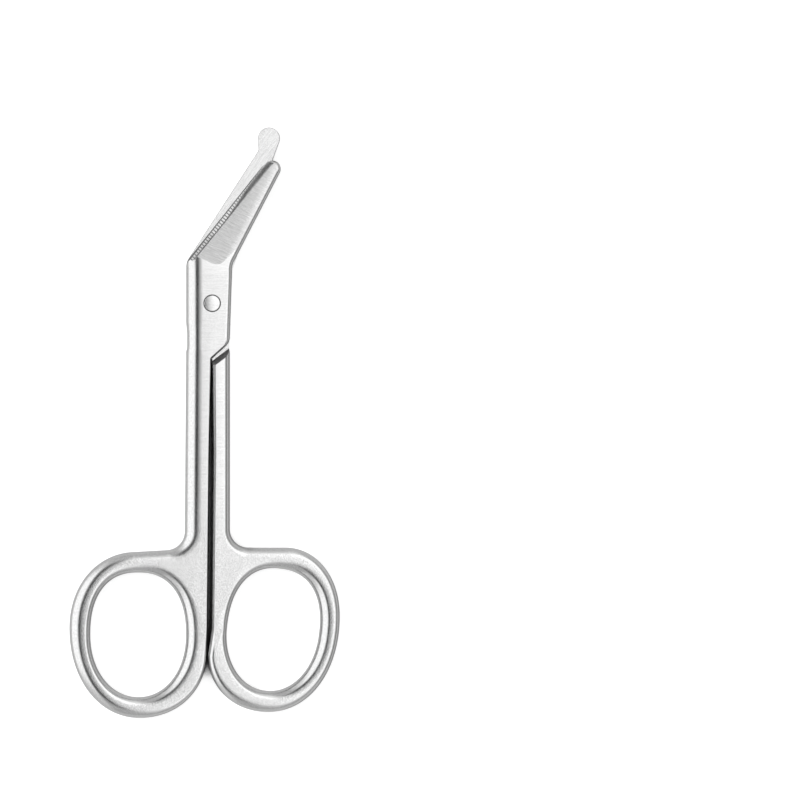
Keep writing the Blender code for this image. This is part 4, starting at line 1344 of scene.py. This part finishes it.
def studio_light():
    """A broad light overhead and one at the left, with a dark gap between them, on a white ground."""
    world = bpy.data.worlds.new("studio")
    bpy.context.scene.world = world
    world.use_nodes = True
    tree = world.node_tree
    background = tree.nodes["Background"]
    direction = tree.nodes.new("ShaderNodeTexCoord")
    split = tree.nodes.new("ShaderNodeSeparateXYZ")
    tree.links.new(direction.outputs["Generated"], split.inputs[0])
    x, y, z = split.outputs
    height = math_node(tree, "POWER", math_node(tree, "MAXIMUM", z, 0.0), DOME_POWER)
    overhead = math_node(tree, "ADD", math_node(tree, "MULTIPLY", height, DOME_RISE), DOME_LEVEL)
    for axis, change in ((y, DOME_BY_RINGS), (y, DOME_BY_BLADES), (x, DOME_ON_RIGHT), (x, OVERHEAD_EDGE)):
        overhead = math_node(tree, "MULTIPLY", overhead, step_node(tree, axis, *change))
    beside = math_node(tree, "MULTIPLY", step_node(tree, y, *BESIDE_BY_BLADES),
                       step_node(tree, y, *BESIDE_BY_RINGS))
    beside = math_node(tree, "MULTIPLY", step_node(tree, x, *BESIDE_EDGE), beside)
    gap = math_node(tree, "MAXIMUM", step_node(tree, y, *GAP_BY_BLADES),
                    step_node(tree, y, *GAP_BY_RINGS))
    light = math_node(tree, "MAXIMUM", math_node(tree, "MAXIMUM", overhead, beside), gap)
    path = tree.nodes.new("ShaderNodeLightPath")
    seen = path.outputs["Is Camera Ray"]
    blank = math_node(tree, "SUBTRACT", 1.0, seen)
    strength = math_node(tree, "ADD", math_node(tree, "MULTIPLY", light, blank), seen)
    tree.links.new(strength, background.inputs["Strength"])
    background.inputs["Color"].default_value = (1, 1, 1, 1)


def studio_floor():
    """A pale floor that is white to the eye, softer in the steel, and keeps the shadow, with painted
    shade where the parts close it in.
    """
    deselect()
    bpy.ops.mesh.primitive_plane_add(size=FLOOR_SIZE, location=(0, 0, -FLOOR_DROP))
    floor = bpy.context.object
    floor.name = "studio_floor"
    material = bpy.data.materials.new("pale_floor")
    material.use_nodes = True
    tree = material.node_tree
    shader = tree.nodes["Principled BSDF"]
    shader.inputs["Roughness"].default_value = 1.0
    shader.inputs["Specular IOR Level"].default_value = 0.0
    shader.inputs["Emission Color"].default_value = (1, 1, 1, 1)
    path = tree.nodes.new("ShaderNodeLightPath")
    seen = math_node(tree, "MULTIPLY", path.outputs["Is Camera Ray"], SEEN_GLOW)
    mirrored = math_node(tree, "MULTIPLY", path.outputs["Is Glossy Ray"], MIRRORED_GLOW)
    # Painted contact shade: an occlusion mask darkens the floor's colour and takes away its glow under
    # and between the parts.
    open_sky = tree.nodes.new("ShaderNodeAmbientOcclusion")
    open_sky.inputs["Distance"].default_value = CONTACT_REACH
    open_floor = step_node(tree, open_sky.outputs["AO"], *CONTACT_STEP)
    glow = math_node(tree, "MULTIPLY", math_node(tree, "ADD", seen, mirrored), open_floor)
    tree.links.new(glow, shader.inputs["Emission Strength"])
    pale = mix_node(tree, open_floor, PAINTED_CONTACT_SHADE, FLOOR_SHADE)
    tree.links.new(pale, shader.inputs["Base Color"])
    floor.data.materials.append(material)


def key_light():
    """A soft key from the upper left, which lights the floor beside the scissors."""
    bpy.ops.object.light_add(type="SUN", location=KEY_PLACE)
    key = bpy.context.object
    key.name = "soft_key"
    key.rotation_euler = Vector(KEY_DIRECTION).to_track_quat("Z", "Y").to_euler()
    key.data.energy = KEY_STRENGTH
    key.data.angle = KEY_ANGLE
    key.visible_glossy = False


def studio_camera():
    """A camera straight above, as far as the photo's frame is wide."""
    bpy.ops.object.camera_add(location=(CAMERA_X, CAMERA_Y, CAMERA_HEIGHT), rotation=(0, 0, 0))
    camera = bpy.context.object
    camera.data.sensor_width = SENSOR_WIDTH
    camera.data.lens = SENSOR_WIDTH * (CAMERA_HEIGHT - HALF_THICKNESS) / FRAME_WIDTH
    camera.data.clip_start = CAMERA_CLIP
    bpy.context.scene.camera = camera


def main():
    """Model and finish the three pieces, then light and frame them."""
    groups = (blasted_grain(), grinding_lines(), belt_ground_flats())
    forged = steel("satin_forged_steel", groups, FORGED_SHADE, BELT_GROUND, flats_only=True)
    ground = steel("ground_blade_steel", groups, GROUND_SHADE, CROSS_GROUND, CROSS_TURN)
    # Two darker copies of the steel that are painted shade: one for the shoulders, the step's edge, the
    # grooves and the lap chamfer, one for the cutting edge's wall
    painted_shade = steel("painted_shade_steel", groups, PAINTED_SHADE_GREY, DULL)
    painted_land_shade = steel("painted_land_shade_steel", groups, PAINTED_LAND_GREY, DULL)
    lapped = steel("lapped_blade_steel", groups, GROUND_SHADE, HATCHED, HATCH_TURN)
    upper = serrated_half(forged, ground, painted_shade, painted_land_shade)
    lower = probe_half(forged, ground, painted_shade, lapped)
    screw = pivot_screw(forged)
    for piece, node, body, slot in (
        (upper, "serrated_blade_half", "serrated_half", "satin_steel_upper"),
        (lower, "probe_blade_half", "probe_half", "satin_steel_lower"),
        (screw, "pivot_screw", "serrated_half", "satin_steel_screw"),
    ):
        smooth(piece)
        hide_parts(node)
        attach(piece, body)
    studio_light()
    key_light()
    studio_floor()
    studio_camera()
    bpy.context.scene.view_settings.view_transform = "Standard"


main()
